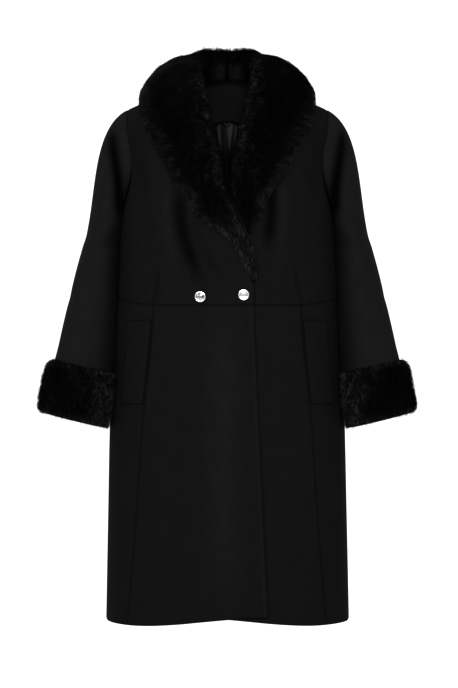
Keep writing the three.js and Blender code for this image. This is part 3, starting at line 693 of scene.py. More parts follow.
def welt_place(up, across):
    """Angle and level of a place on the left welt, by the shares up and across it."""
    level = mix(WELT_BOTTOM_Z, WELT_TOP_Z, up) - ARMPIT_Z
    start = panel_seam_angle(level) + 0.008
    radius = np.linalg.norm(surface(start, level)[..., :2], axis=-1)
    return start + across * WELT_WIDTH / radius, level


for word, side in SIDES:
    angle, level = welt_place(*grid_of(WELT_TOP_Z - WELT_BOTTOM_Z, WELT_WIDTH, 4))
    points, normals = skin(side * angle, level, WELT_OUT)
    lay_cloth(f"pocket_welt_{word}", points, -normals, (0.055, 0.175), 0.0093)

INSIDE = -(CLOTH + 2)
up, across = grid_of(80, 230)
angle = np.pi + mix(-1, 1, across) * np.radians(48)
own = np.abs(surface(angle, 0 * angle)[..., 0])
top = UPPER * np.minimum(neck_share(np.minimum(own, NECK_HALF)), 0.94) - 2
points, normals = skin(angle, mix(UPPER * mix(0.58, 0.72, (own / 120) ** 2), top, up), INSIDE - 1.5)
# The facing is painted paler than the rest of the wool: a painted highlight inside the back neck.
lay_cloth("back_neck_facing", points, -normals, (0.26, 0.13), 0.022, thick=1.6, tone_and_painted_light=PLAIN_TONE + 0.32)

PLEAT = 5.0
up, across = grid_of(380, 330, 5)
turned = mix(-1, 1, across)
angle = np.pi + (turned * 0.45 + turned**3 * 0.55) * np.radians(62)
pleat = PLEAT * bell(angle - np.pi - 0.02, 0.09) - 2 * bell(angle - np.pi - 0.2, 0.08)
level = mix(waist_level(angle) + 6, UPPER * 0.57, up)
points, normals = skin(angle, level, INSIDE)
x, z = points[..., 0], points[..., 2]
# Painted sheen: the satin is painted pale in a wedge that narrows downwards, between two thin painted
# highlight lines, only near the neck, and painted dark lower down, as shade inside the coat.
fallen = smooth(-70, -140, z)
painted_wedge = smooth(mix(-6, 3, fallen), mix(6, 5, fallen), x) * smooth(mix(14, 6, fallen), mix(11, 4, fallen), x)
painted_sheen = 0.11 + 0.5 * painted_wedge + 0.35 * bell(x + 17, 2.5) + 0.35 * bell(x - 18, 2.5)
painted_sheen = painted_sheen * smooth(-152, -115, z) + 0.03
outer = points - normals * pleat[..., None]
lay_cloth("back_lining", outer, -normals, (0.37, 0.40), 0.13, thick=1, satin=True, tone_and_painted_light=painted_sheen)


def cord(name, path, radius, material, rings=8):
    """A round cord along a path of points: a circle carried square to the path."""
    ahead = unit(np.gradient(path, axis=0))
    side = unit(np.cross(ahead, (0, 1, 0)))
    turn = np.arange(rings) * 2 * np.pi / rings
    points = (path[:, None] + radius * circle(turn, side, np.cross(ahead, side))).reshape(-1, 3)
    last = len(points) - rings
    ends = np.array([(0, i, i + 1) for i in range(1, rings - 1)])
    faces = [grid_faces(len(path), rings, True), ends, last + ends[:, ::-1]]
    make_piece(name, points, faces, points[:, [0, 2]], material, tone_and_painted_light=np.full(len(points), 0.3))


# The hanger loop: half an ellipse of satin cord with its two ends under the facing.
swing = np.linspace(0, np.pi, 24)
loop = np.stack([6 * np.cos(swing), 0 * swing, -9 * np.sin(swing)], -1)
loop[:, 2] += points[..., 2][points[..., 0] ** 2 < 400].max() + 1
behind = np.abs(points[..., 0]) < 6
depth = points[..., 1][behind][np.abs(points[..., 2][behind, None] - loop[:, 2]).argmin(0)]
loop[:, 1] = depth - 8
cord("hanger_loop", loop, 1.5, SATIN)

# %% [markdown]
# ## Sleeves
#
# A set-in sleeve starts as the ring of the armhole and soon becomes an upright tube. A cubic curve carries
# each point from one to the other. Because the arm hangs down, the spare cloth of the cap falls into one
# deep fold that runs from the shoulder to the armpit, and smaller ones gather at the elbow.

# %% Sleeve surface
SLEEVE = table(
    "z outer inner middle deep drop",
    (-705, 375, 250, -53, 59, 0.27),
    (-650, 365, 239, -48, 59, 0.25),
    (-600, 356.5, 231, -41, 60, 0.23),
    (-560, 348, 226, -31, 63, 0.22),
    (-510, 338, 222, -19, 66, 0.21),
    (-455, 326, 219, -9, 71, 0.19),
    (-400, 313.5, 217, -3, 77, 0.17),
    (-345, 299, 216, 0, 82, 0.15),
)
SLEEVE_TOP_Z, SLEEVE_END_Z = -345, -690
CREASE = table("z own", (-290, 219), (-220, 222), (-180, 228), (-140, 235), (-95, 242))
CREASE_DEPTH = 12
SLEEVE_FOLDS = table(
    "turn z lean deep long wide",
    (0.9, -300, 0.5, 3.0, 90, 14),
    (1.5, -420, -0.7, 2.6, 60, 12),
    (0.4, -455, -0.4, 1.8, 55, 11),
    (1.1, -520, 0.5, 1.6, 60, 12),
    (-0.9, -390, 0.7, 2.6, 70, 13),
    (-1.5, -470, -0.5, 2.2, 60, 12),
    (-0.5, -560, 0.4, 1.5, 50, 12),
    (2.0, -330, 0.6, 2.0, 60, 12),
)
sleeve_at = {column: curve(SLEEVE, "z", column) for column in list(SLEEVE)[1:]}
crease_line = curve(CREASE, "z", "own")


def body_reach(y, z):
    """How far the body reaches to its side at a depth and height."""
    z = np.minimum(z, ARMPIT_Z)
    share = np.minimum(np.abs(y) / np.where(y > 0, body_back(z), body_front(z)), 1)
    return body_half(z) * drop_off(share, ROUNDNESS, 1 / ROUNDNESS)


def clear_of_body(points, share):
    """Moves a sleeve's points sideways until they clear the body, by a gap that eases in from the seam."""
    reach = body_reach(points[..., 1], points[..., 2]) + LAID_GAP + 1.4 * share
    low = points[..., 2] < ARMPIT_Z + 30
    points[..., 0] = np.where(low, np.maximum(points[..., 0], reach), points[..., 0])
    return points


def sleeve_ring(turn, z):
    """A sleeve's section: an ellipse, tipped so that the inner side hangs lower."""
    outer, inner = sleeve_at["outer"](z), sleeve_at["inner"](z)
    middle = (outer + inner) / 2
    x = middle + (outer - inner) / 2 * np.cos(turn)
    y = sleeve_at["middle"](z) - sleeve_at["deep"](z) * np.sin(turn)
    return np.stack([x, y, z + sleeve_at["drop"](z) * (x - middle)], -1)


def armhole_point(turn, out):
    """A place on the left armhole, 0 at the shoulder and half a turn at the armpit, moved out along the
    sleeve."""
    share, front = np.cos(turn / 2) ** 2, np.sin(turn) >= 0
    half = np.where(front, armhole_front(share), armhole_back(share))
    angle = np.where(front, front_angle(half, 0), np.pi - np.arctan2(half, depth_at(half, 0, True)))
    points, normals = skin(angle, share * UPPER)
    away = np.stack([np.ones_like(share), 0 * share, mix(0.15, -SHOULDER_SLOPE, share)], -1)
    away = unit(away - normals * (away * normals).sum(-1, keepdims=True))
    return points + away * out


def sleeve_surface(turn, along):
    """Points of the left sleeve. Along is 0 at the armhole, 1 at the first ring of the table and 2 at its
    end."""
    out = ((1 + np.cos(turn)) / 2)[..., None]
    sine = np.sin(turn)[..., None]
    one = np.ones_like(sine)
    start, end = armhole_point(turn, 0), sleeve_ring(turn, SLEEVE_TOP_Z + 0 * turn)
    leave = np.concatenate([15 + 228 * out**1.45, -35 * sine, -60 - 60 * out**2], -1)
    arrive = np.concatenate([10 + 80 * out, -5 * sine, -90 - 160 * out**0.6], -1)
    cap = hermite(start, leave, end, arrive, np.minimum(along, 1)[..., None] * one)
    off = cap[..., 0] - crease_line(cap[..., 2])
    shape = np.where(off > 0, np.exp(-np.maximum(off, 0) / 24), bell(off, 9))
    fade = smooth(0.12, 0.4, along) * smooth(-85, -120, cap[..., 2]) * smooth(0, 40, -cap[..., 1])
    cap[..., 1] += CREASE_DEPTH * shape * fade
    arm = sleeve_ring(turn, mix(SLEEVE_TOP_Z, SLEEVE_END_Z, np.clip(along - 1, 0, 1)))
    return clear_of_body(np.where(along[..., None] < 1, cap, arm), smooth(0, 0.25, along))


def sleeve_normal(turn, along):
    """Directions out of the sleeve."""
    step, slide = 0.03, 0.01
    across = sleeve_surface(turn + step, along) - sleeve_surface(turn - step, along)
    down = sleeve_surface(turn, along + slide) - sleeve_surface(turn, np.maximum(along - slide, 0))
    return unit(np.cross(across, down))


def sleeve_folds(turn, points):
    """Slanting troughs, at an angle round the sleeve and a height."""
    depth = np.zeros_like(turn)
    for at, z, lean, deep, long, wide in zip(*SLEEVE_FOLDS.values()):
        round_it = ((turn - at + np.pi) % (2 * np.pi) - np.pi) * 65
        up = points[..., 2] - z
        size = np.hypot(1, lean)
        lengthwise, crosswise = (round_it + up * lean) / size, (up - round_it * lean) / size
        depth += deep * bell(lengthwise, long / 2) * bell(crosswise, wide)
    return depth


def mirror(points, side):
    """Points as they are for the wearer's left, or with x turned round for the right."""
    return points * np.array([side, 1, 1])


TURNS = 84
ALLOWANCE = 6
turn, along = np.meshgrid(np.arange(TURNS) * 2 * np.pi / TURNS, 2 * spread(720, 7), indexing="xy")
outer = sleeve_surface(turn, along)
normals = sleeve_normal(turn, along)
folds = sleeve_folds(turn, outer) * smooth(0.2, 0.5, along) * smooth(-0.98, -0.6, np.cos(turn))
outer = outer - normals * folds[..., None]
tuck = armhole_point(turn[:1], -ALLOWANCE) - normals[:1] * (CLOTH + SEAM_DIP + 0.5)
# Painted light on the sleeves: paler on the outer side, which faces the light, painted shade in the deep
# crease and towards the inner side that hangs by the body, and faintly in the folds.
painted_crease_shade = bell(outer[..., 0] - crease_line(outer[..., 2]), 12) * smooth(-300, -250, outer[..., 2])
painted_crease_shade = painted_crease_shade * smooth(-80, -125, outer[..., 2]) * smooth(0, 40, -outer[..., 1])
tone_and_painted_light = PLAIN_TONE + 0.2 + 0.15 * np.cos(turn) - 0.85 * painted_crease_shade
tone_and_painted_light = tone_and_painted_light - 0.25 * smooth(-0.2, -0.9, np.cos(turn)) - 0.03 * folds
for word, side in SIDES:
    place = mirror(outer, side), -mirror(normals, side)
    lay_cloth(f"sleeve_{word}", *place, (0.42, 0.70), 0.215, wraps=True, tone_and_painted_light=tone_and_painted_light, tuck=mirror(tuck, side))

# %% [markdown]
# ## Fur
#
# The collar and the cuffs are fur fabric: a backing with a dense pile about 20 mm deep. A particle system
# could grow hair, but its hair would not be part of the model's meshes. So each hair here is a thin closed
# needle with three sides, made by the tens of thousands as one array. Hairs that grow close together lean
# together and meet at their tips, as tufts do, and the outer ones fan out past the edges of the backing.
# Their tips are painted paler than their roots: painted highlights on the tips and painted shade deep in the
# pile.

# %% Fur finish
FUR = new_material("black fur", grey(0.004), 0.5, Specular_IOR_Level=0.04)
# Painted light up each hair: the roots painted dark, as shade deep in the pile, and the tips painted paler,
# as highlight, by each hair's shade.
strand = add_node(FUR, "ShaderNodeSeparateXYZ", {"Vector": add_node(FUR, "ShaderNodeUVMap").outputs["UV"]})
rising = work_out(FUR, "POWER", strand.outputs["Y"], 1.6)
paleness = work_out(FUR, "MULTIPLY", rising, strand.outputs["X"])
link_shader(FUR, Base_Color=ramp(FUR, paleness, grey(0.0012), (0.055, 0.055, 0.056), 0.0, 1.0))


# %% Hairs as arrays
def hairs(roots, tips, bends, radius, shade):
    """Closed needles from roots to tips, with their middles moved by bends. Where bends is None they are
    straight. Gives points, triangles, and for each point its shade and its share of the height."""
    axis = unit(tips - roots)
    side = unit(np.cross(axis, (0.31, 0.52, 0.79)))
    turns = np.array([0, 1, 2]) * 2 * np.pi / 3
    ring = circle(turns, side, np.cross(axis, side)) * radius[:, None, None]
    if bends is None:
        points = np.concatenate([roots[:, None] + ring, tips[:, None]], 1)
        faces = np.array([(0, 2, 1), (0, 1, 3), (1, 2, 3), (2, 0, 3)])
        height = np.array([0, 0, 0, 1.0])
    else:
        middle = mix(roots, tips, 0.5) + bends
        points = np.concatenate([roots[:, None] + ring, middle[:, None] + ring * 0.8, tips[:, None]], 1)
        lower = [(0, 1, 4), (0, 4, 3), (1, 2, 5), (1, 5, 4), (2, 0, 3), (2, 3, 5)]
        faces = np.array([(0, 2, 1), *lower, (3, 4, 6), (4, 5, 6), (5, 3, 6)])
        height = np.array([0, 0, 0, 0.5, 0.5, 0.5, 1.0])
    count = points.shape[1]
    faces = (faces + np.arange(len(roots))[:, None, None] * count).reshape(-1, 3)
    uv = np.stack(np.broadcast_arrays(shade[:, None], height), -1).reshape(-1, 2)
    return points.reshape(-1, 3), faces, uv


def scatter(grid, count, random):
    """Row and column places on a grid of points, spread evenly over its area."""
    across, along = np.diff(grid, axis=1)[:-1], np.diff(grid, axis=0)[:, :-1]
    area = np.linalg.norm(np.cross(across, along), axis=-1)
    row, column = np.divmod(random.choice(area.size, count, p=area.ravel() / area.sum()), area.shape[1])
    return row + random.random(count), column + random.random(count)


def sample(grid, row, column):
    """Values of a grid between its rows and columns."""
    i, j = np.floor(row).astype(int), np.floor(column).astype(int)
    i, j = np.minimum(i, len(grid) - 2), np.minimum(j, grid.shape[1] - 2)
    s, t = row - i, column - j
    if grid.ndim == 3:
        s, t = s[:, None], t[:, None]
    return mix(mix(grid[i, j], grid[i, j + 1], t), mix(grid[i + 1, j], grid[i + 1, j + 1], t), s)


def grid_normal(grid):
    """Directions off a grid of points, square to its rows and columns."""
    return unit(np.cross(np.gradient(grid, axis=0), np.gradient(grid, axis=1)))


TUFT = 13.0
TUFT_KINDS = 4096
STANDING = 0.6


def grow_pile(node, seed, form, outwards, length, lie, run, comb, pale, counts):
    """Hairs whose tips lie on a form, a grid of points with the directions out of it. Each root is a hair's
    length back along the hair, which stands off the form, leans by lie along the grid's rows and by run
    down its columns, and is combed by a vector. Hairs of one tuft lean together, and their tips draw
    together. Pale is how pale the tips are painted, with painted highlights in it."""
    random = np.random.default_rng(seed)
    across, along = unit(np.gradient(form, axis=1)), unit(np.gradient(form, axis=0))
    long = np.insert(np.cumsum(np.linalg.norm(np.diff(form, axis=0), axis=-1).mean(1)), 0, 0)
    wide = np.insert(np.cumsum(np.linalg.norm(np.diff(form, axis=1), axis=-1).mean(0)), 0, 0)
    made, total = [], 0
    for curved, count in zip((True, False), counts):
        row, column = scatter(form, count, random)
        normal = unit(sample(outwards, row, column))
        over, down = sample(across, row, column), sample(along, row, column)
        u = np.interp(row, np.arange(len(long)), long) / TUFT
        v = np.interp(column, np.arange(len(wide)), wide) / TUFT
        u, v = u + 0.35 * np.sin(2.3 * v + 0.7 * u), v + 0.35 * np.sin(1.9 * u - 0.6 * v)
        cell = (np.floor(u).astype(int) * 733 + np.floor(v).astype(int) * 151) % TUFT_KINDS
        tufts = np.random.default_rng(seed + 1).normal(0, 1, (TUFT_KINDS, 4))
        lean_over, lean_down, tall, light = tufts[cell].T[..., None]
        to_middle = (np.floor(v) + 0.5 - v)[:, None] * over + (np.floor(u) + 0.5 - u)[:, None] * down
        lean = over * (lean_over * 0.2 + sample(lie, row, column)[:, None])
        lean = lean + down * (lean_down * 0.2 + sample(run, row, column)[:, None])
        direction = unit(normal * STANDING + lean + np.asarray(comb) + random.normal(0, 0.13, (count, 3)))
        size = sample(length, row, column)[:, None] * random.uniform(0.85, 1.1, (count, 1))
        tips = sample(form, row, column) + normal * (0.5 * tall + random.normal(0, 0.7, (count, 1)))
        tips = tips + direction * np.minimum(random.exponential(1.0, (count, 1)), 5)
        roots = tips - direction * size
        tips = tips + to_middle * TUFT * 0.22
        bends = (normal * 0.12 + random.normal(0, 0.04, (count, 3))) * size if curved else None
        shade = sample(pale, row, column) * np.exp(0.4 * light[:, 0] + random.normal(0, 0.35, count))
        radius = random.uniform(0.2, 0.38, count)
        points, faces, uv = hairs(roots, tips, bends, radius, np.clip(shade, 0, 2))
        made.append((points, faces + total, uv))
        total += len(points)
    points, faces, uv = (np.concatenate(parts) for parts in zip(*made))
    make_piece(node + "_pile", points, [faces], uv, FUR)
    print(f"{node}_pile: {sum(counts)} hairs, {len(faces)} triangles")


def lay_backing(node, top, under, wraps=False):
    """The fur's backing with the dense pile close to it: a closed slab between two grids."""
    rows, columns = top.shape[:2]
    points = np.concatenate([top.reshape(-1, 3), under.reshape(-1, 3)])
    uv = np.tile((0.04, 0.1), (len(points), 1))
    piece = make_piece(node + "_backing", points, [shell_faces(rows, columns, wraps)], uv, FUR)
    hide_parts(node)


# %% [markdown]
# ## Fur collar
#
# A shawl collar rolls round the neck and falls outwards. Its underside is a row of sections, each a
# straight line from the neck seam to the outer edge that arches up between them: high and upright behind
# the neck, low and flat on the chest. The two ends differ, because the right one runs on over the left one
# and tapers down the front edge.

# %% Collar sections
NECK_COLUMNS = "own y z outer_own outer_y outer_z arch up pile lean"
COLLAR_NECK = table(
    NECK_COLUMNS,
    (0, 74.5, 13.5, 0, 122, -66, 69, 90, 21, 0),
    (40, 64.5, 9, 76, 115, -64, 71, 90, 22, 4),
    (68, 36, 5, 138, 86, -58, 56, 90, 24, 18),
    (79, 10, 6, 176, 30, -48, 44, 88, 26, 34),
    (66, -34, -6, 182, -14, -55, 40, 76, 27, 14),
)
CHEST_COLUMNS = "own z outer_own outer_z arch up pile"
COLLAR_CHEST = (
    (44, -38, 178, -80, 24, 58, 27),
    (33, -75, 171, -101, 13, 36, 27),
    (24, -111, 158, -126, 6, 24, 27),
    (15, -150, 141, -159, 2, 16, 26),
    (8, -185, 125, -193, 0, 10, 25),
)
COLLAR_ENDS = {
    "right": (
        (6, -212, 107, -225, 0, 6, 24),
        (-1, -241, 82, -252, 0, 3, 23),
        (-11, -262, 73, -284, 0, 0, 21),
        (-22, -290, 53, -302, 0, 0, 18),
        (-32, -312, 28, -311, 0, 0, 16),
        (-42, -332, 7, -328, 0, 0, 14),
        (-52, -356, -12, -350, 0, 0, 12),
        (-58, -385, -31, -384, 0, 0, 10),
        (-58, -408, -43, -411, 0, 0, 7),
        (-55, -421, -52, -421, 0, 0, 2),
    ),
    "left": (
        (8, -212, 107, -225, 0, 6, 24),
        (6, -240, 84, -253, 0, 3, 22),
        (16, -263, 76, -281, 0, 0, 18),
        (28, -289, 63, -299, 0, 0, 13),
        (38, -311, 51, -317, 0, 0, 8),
        (44, -325, 46, -327, 0, 0, 2),
    ),
}
SEAT_MARGIN = 1.6
ARCH_POWER = 0.6


def inside_body(points, margin, side):
    """Whether points, on the side where x is positive, lie in the coat's body or within a margin of it."""
    x, y, z = np.moveaxis(points, -1, 0)
    back, beyond = y > SEAM_Y, x - NECK_HALF
    share = (z - margin - ARMPIT_Z) / (UPPER - SHOULDER_SLOPE * np.maximum(beyond, 0))
    below = np.clip(share, 0, 1)
    behind = SEAM_Y + (depth_at(x, 0, True) - SEAM_Y) * drop_off(below, *CLOSE_BACK)
    front = front_skin(side * x, np.minimum(z, -SHOULDER_SLOPE * np.maximum(beyond, 0)), 0.0, side)[0][..., 1]
    inside = np.where(back, (y - margin < behind) & (beyond >= 0), y + margin > front)
    return inside & (share < 1)


def collar_form(word, side, along, across):
    """The collar's underside and the height of its fur, on a grid of shares along and across it."""
    chest = table(CHEST_COLUMNS, *COLLAR_CHEST, *COLLAR_ENDS[word])
    chest["lean"] = 0 * chest["z"]
    chest["y"] = front_skin(side * chest["own"], chest["z"], LAID_GAP, side)[0][:, 1]
    chest["outer_y"] = front_skin(side * chest["outer_own"], chest["outer_z"], LAID_GAP, side)[0][:, 1]
    rows = {column: np.concatenate([COLLAR_NECK[column], chest[column]]) for column in NECK_COLUMNS.split()}
    rows["index"] = np.arange(len(rows["z"]))
    place = along * (len(rows["z"]) - 1)
    at = {column: curve(rows, "index", column)(place) for column in NECK_COLUMNS.split()}
    inner = np.stack([at["own"], at["y"], at["z"]], -1)
    outer = np.stack([at["outer_own"], at["outer_y"], at["outer_z"]], -1)
    up = np.radians(at["up"])
    lift = np.stack([0 * up, -np.cos(up), np.sin(up)], -1)
    arched = np.sin(np.pi * across**ARCH_POWER)
    under = mix(inner, outer, across[..., None]) + lift * (at["arch"] * arched)[..., None]
    under[..., 0] -= at["lean"] * 1.9 * arched * (1 - across) ** 3
    for _ in range(80):
        inside = inside_body(under, SEAT_MARGIN, side)
        if not inside.any():
            break
        under = under + lift * (0.7 * inside)[..., None]
    return under, at["pile"] * np.sqrt(1 - np.abs(2 * across - 1) ** 2.6)


# %% Lay and grow the collar
BACKING_SHARE = 0.45
# Painted highlights: patches of paler hair tips at places on the collar.
PAINTED_HIGHLIGHT_TUFTS = table(
    "x z wide light",
    (31, -133, 11, 0.5),
    (22, -199, 8, 0.6),
    (24, -222, 9, 0.3),
    (72, -268, 13, 0.5),
    (88, -240, 9, 0.3),
    (52, -150, 12, 0.2),
    (135, 28, 15, 0.35),
    (68, 42, 14, 0.2),
)
COLLAR_HAIRS, COLLAR_SEED = (8200, 25000), 11


def fur_collar(word, side):
    along, turned = np.meshgrid(np.linspace(0, 0.992, 130), np.linspace(0, 1, 44), indexing="ij")
    under, rise = collar_form(word, side, along, turned ** (1 / ARCH_POWER))
    out = grid_normal(under)
    out[..., 0] *= smooth(0, 0.08, along)
    out = unit(out)
    behind_neck = smooth(0.32, 0.2, along)
    rise = rise - 3 * behind_neck * smooth(0, 8, rise)
    share = mix(BACKING_SHARE, mix(0.25, 0.95, smooth(0.15, 0.4, turned)), behind_neck)
    under[:, 0] += np.array([0, 3, -9]) * behind_neck[:, :1]
    top, form = (under + out * height[..., None] for height in (np.maximum(rise * share + 1, 1.8), rise))
    form[..., 0] -= 4 * smooth(0.06, 0, along)
    node = f"fur_collar_{word}"
    kept = slice(None), slice(0, -2)
    lay_backing(node, mirror(top, side)[kept], mirror(under + out, side)[kept])
    edge = np.abs(2 * turned - 1)
    # Painted highlights on the collar's hair: paler tips along the inner and outer rims, on the tail of the
    # right end and in the tufts of the table, with a little random variation on top.
    inner_rim, outer_rim = smooth(0.5, 0.12, turned) * smooth(0.1, 0.3, along), smooth(0.8, 0.98, turned)
    tail = smooth(-285, -325, form[..., 2]) * (word == "right")
    pale = 0.07 + 0.55 * np.maximum(inner_rim, outer_rim) + 1.0 * tail
    pale = pale + 0.06 * np.sin(9 * along + 2) * np.sin(7 * turned + 4 * along)
    lie = mix(-0.75, mix(0.6, 1.2, behind_neck), smooth(0.05, mix(0.45, 0.15, behind_neck), turned))
    lie = lie * (1 - 0.6 * smooth(0.85, 1, edge))
    lie = lie * (1 - 0.8 * tail)
    for x, z, wide, light in zip(*PAINTED_HIGHLIGHT_TUFTS.values()):
        pale = pale + light * bell(np.hypot(form[..., 0] - x, form[..., 2] - z), wide)
    down = np.array([0, -0.1, -0.3])
    place = mirror(form, side), mirror(grid_normal(form), side)
    run = 1.3 * np.maximum(tail, 0.4 * smooth(-230, -290, form[..., 2]))
    grow_pile(node, COLLAR_SEED + side, *place, 0.7 * rise + 9, lie, run, down, pale, COLLAR_HAIRS)


for word, side in SIDES:
    fur_collar(word, side)

# %% [markdown]
# ## Fur cuffs
#
# A cuff is a short tube turned back over the end of the sleeve. Its pile is deepest on the outer side and
# pressed flatter where the cuff touches the skirt. At its upper and lower edges the hairs fan out over the
# sleeve.

# %% Lay and grow the cuffs
CUFF_TOP_Z, CUFF_BOTTOM_Z = -593, -703
CUFF_PILE = {"outer": 19, "depth": 14, "inner": 7}
CUFF_HAIRS, CUFF_SEED = (5200, 14500), 31


def cuff_section(turn, down):
    """Points on the sleeve under the cuff, by the share of the way down, and the level way out from its
    middle."""
    z = mix(CUFF_TOP_Z, CUFF_BOTTOM_Z, down)
    out = sleeve_ring(turn, z) - sleeve_ring(turn + np.pi, z)
    out = unit(out * np.array([1, 1, 0]))
    return clear_of_body(sleeve_ring(turn, z), 1) + out * 2 * LAID_GAP, out


def fur_cuff(word, side):
    down = (1 - np.cos(np.linspace(0, np.pi, 30))) / 2
    turn, down = np.meshgrid(np.linspace(0, 2 * np.pi, 97), down, indexing="xy")
    seat, out = cuff_section(turn, down)
    facing = np.cos(turn)
    pile = mix(CUFF_PILE["depth"], np.where(facing > 0, CUFF_PILE["outer"], CUFF_PILE["inner"]), facing**2)
    edge = 2 * down - 1
    rise = 3 + (pile - 3) * np.sqrt(1 - np.abs(edge) ** 5)
    top, form = (clear_of_body(seat + out * height[..., None], 1) for height in (0.5 * rise, rise))
    node = f"fur_cuff_{word}"
    kept = slice(3, -3), slice(0, -1)
    lay_backing(node, mirror(top, side)[kept], mirror(seat, side)[kept], wraps=True)
    # Painted highlights on the cuffs' hair: paler tips along the upper and lower edges and on the inner side
    # towards the front, with a little random variation.
    pale = 0.1 + 0.4 * smooth(0.7, 0.98, np.abs(edge)) + 0.07 * np.sin(5 * turn) * np.sin(6 * down)
    pale = pale + 0.9 * smooth(-0.1, -0.7, np.cos(turn)) * smooth(-30, -75, form[..., 1])
    droop = np.array([0, 0, -0.45])
    place = mirror(form, side), mirror(-grid_normal(form), side)
    lie, run = 0.35 * np.sin(turn * 2 + 1), 0.35 * np.sin(turn) + 0 * pile
    grow_pile(node, CUFF_SEED + side, *place, 0.7 * rise + 7, lie, run, droop, pale, CUFF_HAIRS)


for word, side in SIDES:
    fur_cuff(word, side)

# %% [markdown]
# ## Buttons and stitches
#
# Two metal buttons sit on the top front. Each is a profile carried round an axis: a shank, a rounded rim
# and a domed face, with three curved slots in the face of one of them. The top stitching is a row of short
# thread capsules, each bedded a little in the cloth.

# %% Turned buttons
SHANK = [(2.6, 0.0), (2.6, 1.6), (8.0, 1.5)]
RIM = SHANK + [(10.1, 1.9), (10.8, 2.5), (11.0, 3.1), (10.7, 3.7), (10.0, 4.1), (9.2, 4.0)]
DISC = np.linspace(8.6, 0.6, 18)
BUTTON_PROFILE = np.array(RIM + [(r, 3.55 + 1.2 * (1 - (r / 8.6) ** 2)) for r in DISC])
# The light column paints the slots dark, as shade in the cuts, and the last one less dark.
SLOTS = table("turn light", (-5, 0.05), (118, 0.05), (240, 0.5))
SLOT_RADIUS, SLOT_DEPTH = 5.8, 0.7
BUTTON_TURNS = 96


def button(word, x, z, painted_disc_reflection, slots):
    """A lathe shape on the top front, turned to face as the cloth there does. The disc value is a painted
    reflection: how pale the middle of its face is painted beside the rim. Slots asks for three curved cuts in
    it, which are painted dark as shade, the last one less so."""
    turn = np.linspace(0, 2 * np.pi, BUTTON_TURNS, endpoint=False)
    place, normal = (array[0] for array in front_skin(np.array([x]), np.array([z]), LAID_GAP, -1))
    across = unit(np.cross((0, 0, 1), normal))
    up = np.cross(normal, across)
    radius, height = BUTTON_PROFILE.T
    level = circle(turn, across, up)
    on_disc = (np.arange(len(radius)) >= len(RIM))[:, None]
    tone_and_painted_light = np.where(on_disc, painted_disc_reflection, 1.0) + 0 * turn
    height = height[:, None] + 0 * turn
    for at, light in zip(*SLOTS.values()) if slots else ():
        off = (np.degrees(turn) - at + 180) % 360 - 180
        slot = bell(off, 30) * smooth(2.0, 1.0, np.abs(radius - SLOT_RADIUS))[:, None] * on_disc
        height, tone_and_painted_light = height - SLOT_DEPTH * slot, mix(tone_and_painted_light, light, np.minimum(1.6 * slot, 1))
    rings = radius[:, None, None] * level + height[..., None] * normal
    points = np.concatenate([rings.reshape(-1, 3), [0 * normal, 4.8 * normal]]) + place
    rows, last = len(radius), len(points) - 1
    i = np.arange(BUTTON_TURNS)
    ahead = (i + 1) % BUTTON_TURNS
    low = np.stack([np.full_like(i, last - 1), ahead, i], -1)
    first = (rows - 1) * BUTTON_TURNS
    high = np.stack([np.full_like(i, last), first + i, first + ahead], -1)
    faces = [grid_faces(rows, BUTTON_TURNS, True), low, high]
    tone_and_painted_light = np.append(tone_and_painted_light.ravel(), [1, painted_disc_reflection])
    name = f"button_{word}_metal"
    piece = make_piece(name, points, faces, points[:, :2], METAL, sharp=40, tone_and_painted_light=tone_and_painted_light)
    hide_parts(f"button_{word}")


button("right", -53.5, -450, 0.42, True)
button("left", 32.8, -446, 0.72, False)

# %% Top stitching
STITCH_LENGTH, STITCH_PITCH, STITCH_RADIUS = 3.6, 4.8, 0.45


def stitch(name, points, normals):
    """Thread capsules at an even pitch along a line on the cloth."""
    travelled = np.insert(np.cumsum(np.linalg.norm(np.diff(points, axis=0), axis=-1)), 0, 0)
    at = np.arange(STITCH_PITCH, travelled[-1], STITCH_PITCH)

    def at_stitches(values, shift=0):
        return np.stack([np.interp(at + shift, travelled, values[:, k]) for k in range(3)], -1)

    place, out = at_stitches(points), unit(at_stitches(normals))
    run = unit(at_stitches(points, 1) - at_stitches(points, -1))
    over = np.cross(out, run)
    turn = np.arange(6) * np.pi / 3
    shares = np.array([-0.5, -0.36, 0.36, 0.5]) * STITCH_LENGTH
    sizes = np.array([0.35, 1, 1, 0.35]) * STITCH_RADIUS
    ring = circle(turn, over, out)
    rings = [
        (place + run * share + out * (0.1 - 0.25 * (abs(share) > 1.5)))[:, None] + ring * size
        for share, size in zip(shares, sizes)
    ]
    template = grid_faces(4, 6, True)
    caps = np.array([(0, 1, 2, 3), (0, 3, 4, 5), (21, 20, 19, 18), (23, 22, 21, 18)])
    template = np.concatenate([template, caps[:, ::-1]])
    points = np.stack(rings, 1).reshape(-1, 3)
    faces = (template + np.arange(len(at))[:, None, None] * 24).reshape(-1, 4)
    make_piece(name, points, [faces], points[:, [0, 2]], THREAD)
    print(f"{name}: {len(at)} stitches")


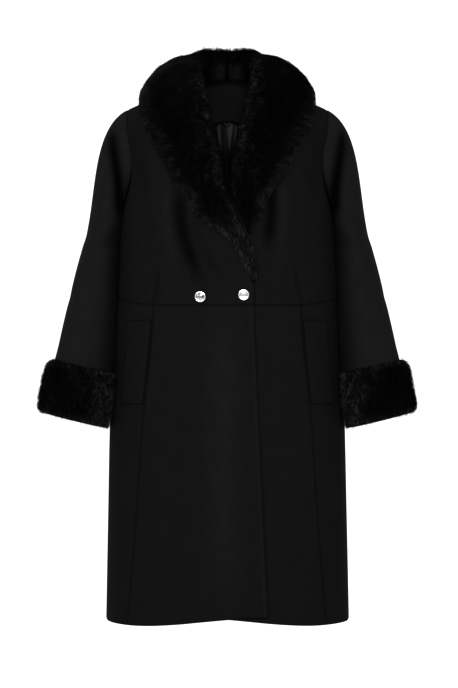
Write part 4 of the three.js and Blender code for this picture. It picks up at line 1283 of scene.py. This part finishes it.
STITCH_INSET = 10
z = np.linspace(HEM_Z + 26, -424, 500)
x = -(front_edge(z) + STITCH_INSET)
stitch("front_edge_stitches", *front_skin(x, z, 0.0, -1))
WELT_INSET = 5
for word, side in SIDES:
    a, b = WELT_INSET / (WELT_TOP_Z - WELT_BOTTOM_Z), WELT_INSET / WELT_WIDTH
    up = [np.linspace(a, 1 - a, 80), np.full(30, 1 - a), np.linspace(1 - a, a, 80), np.full(30, a)]
    over = [np.full(80, b), np.linspace(b, 1 - b, 30), np.full(80, 1 - b), np.linspace(1 - b, b, 30)]
    angle, level = welt_place(np.concatenate(up), np.concatenate(over))
    stitch(f"pocket_welt_{word}_stitches", *skin(side * angle, level, WELT_OUT))

# %% [markdown]
# ## Camera, light and floor
#
# The picture is taken from 4 m away, level with the middle of the coat, through a long lens. The coat hangs
# in front of white, so the world is white and lights the black cloth from everywhere. Two soft lamps add a
# little shape.

# %% Stage
CAMERA_AT = (0.0037, -4.0, -0.545)
LENS = 100.6


def area_light(name, place, target, size, power):
    """A square soft light that points at a target."""
    data = bpy.data.lights.new(name, "AREA")
    data.size, data.energy = size, power
    light = add_object(name, data)
    light.location = place
    aim = Vector(target) - Vector(place)
    light.rotation_euler = aim.to_track_quat("-Z", "Y").to_euler()


camera = add_object("camera", bpy.data.cameras.new("camera"))
camera.location = CAMERA_AT
camera.rotation_euler = (QUARTER, 0, 0)
camera.data.lens = LENS
camera.data.sensor_width = 36
camera.data.clip_end = 100
bpy.context.scene.camera = camera
area_light("front light", (0.3, -4.2, 1.0), (0, 0, -0.6), 1.2, 215)
area_light("high light", (-1.8, -3.0, 1.6), (0, 0, -0.4), 1.4, 60)

world = bpy.data.worlds.new("white studio")
world.use_nodes = True
background = world.node_tree.nodes["Background"].inputs
background["Color"].default_value = (1, 1, 1, 1)
background["Strength"].default_value = 0.84
bpy.context.scene.world = world
bpy.context.scene.view_settings.view_transform = "Standard"
bpy.context.scene.view_settings.look = "High Contrast"

FLOOR_Z = -1.48
FLOOR = new_material("pale floor", grey(0.96), 0.9)
link_shader(FLOOR, Normal=bump(FLOOR, noise(FLOOR, 30), 0.05, 0.001))
floor_mesh = bpy.data.meshes.new("floor")
floor_mesh.from_pydata([(x, y, FLOOR_Z) for x, y in ((-9, -9), (9, -9), (9, 9), (-9, 9))], [], [(0, 1, 2, 3)])
floor_mesh.materials.append(FLOOR)
floor = add_object("floor", floor_mesh)
print("camera", tuple(camera.location), "lens", camera.data.lens)
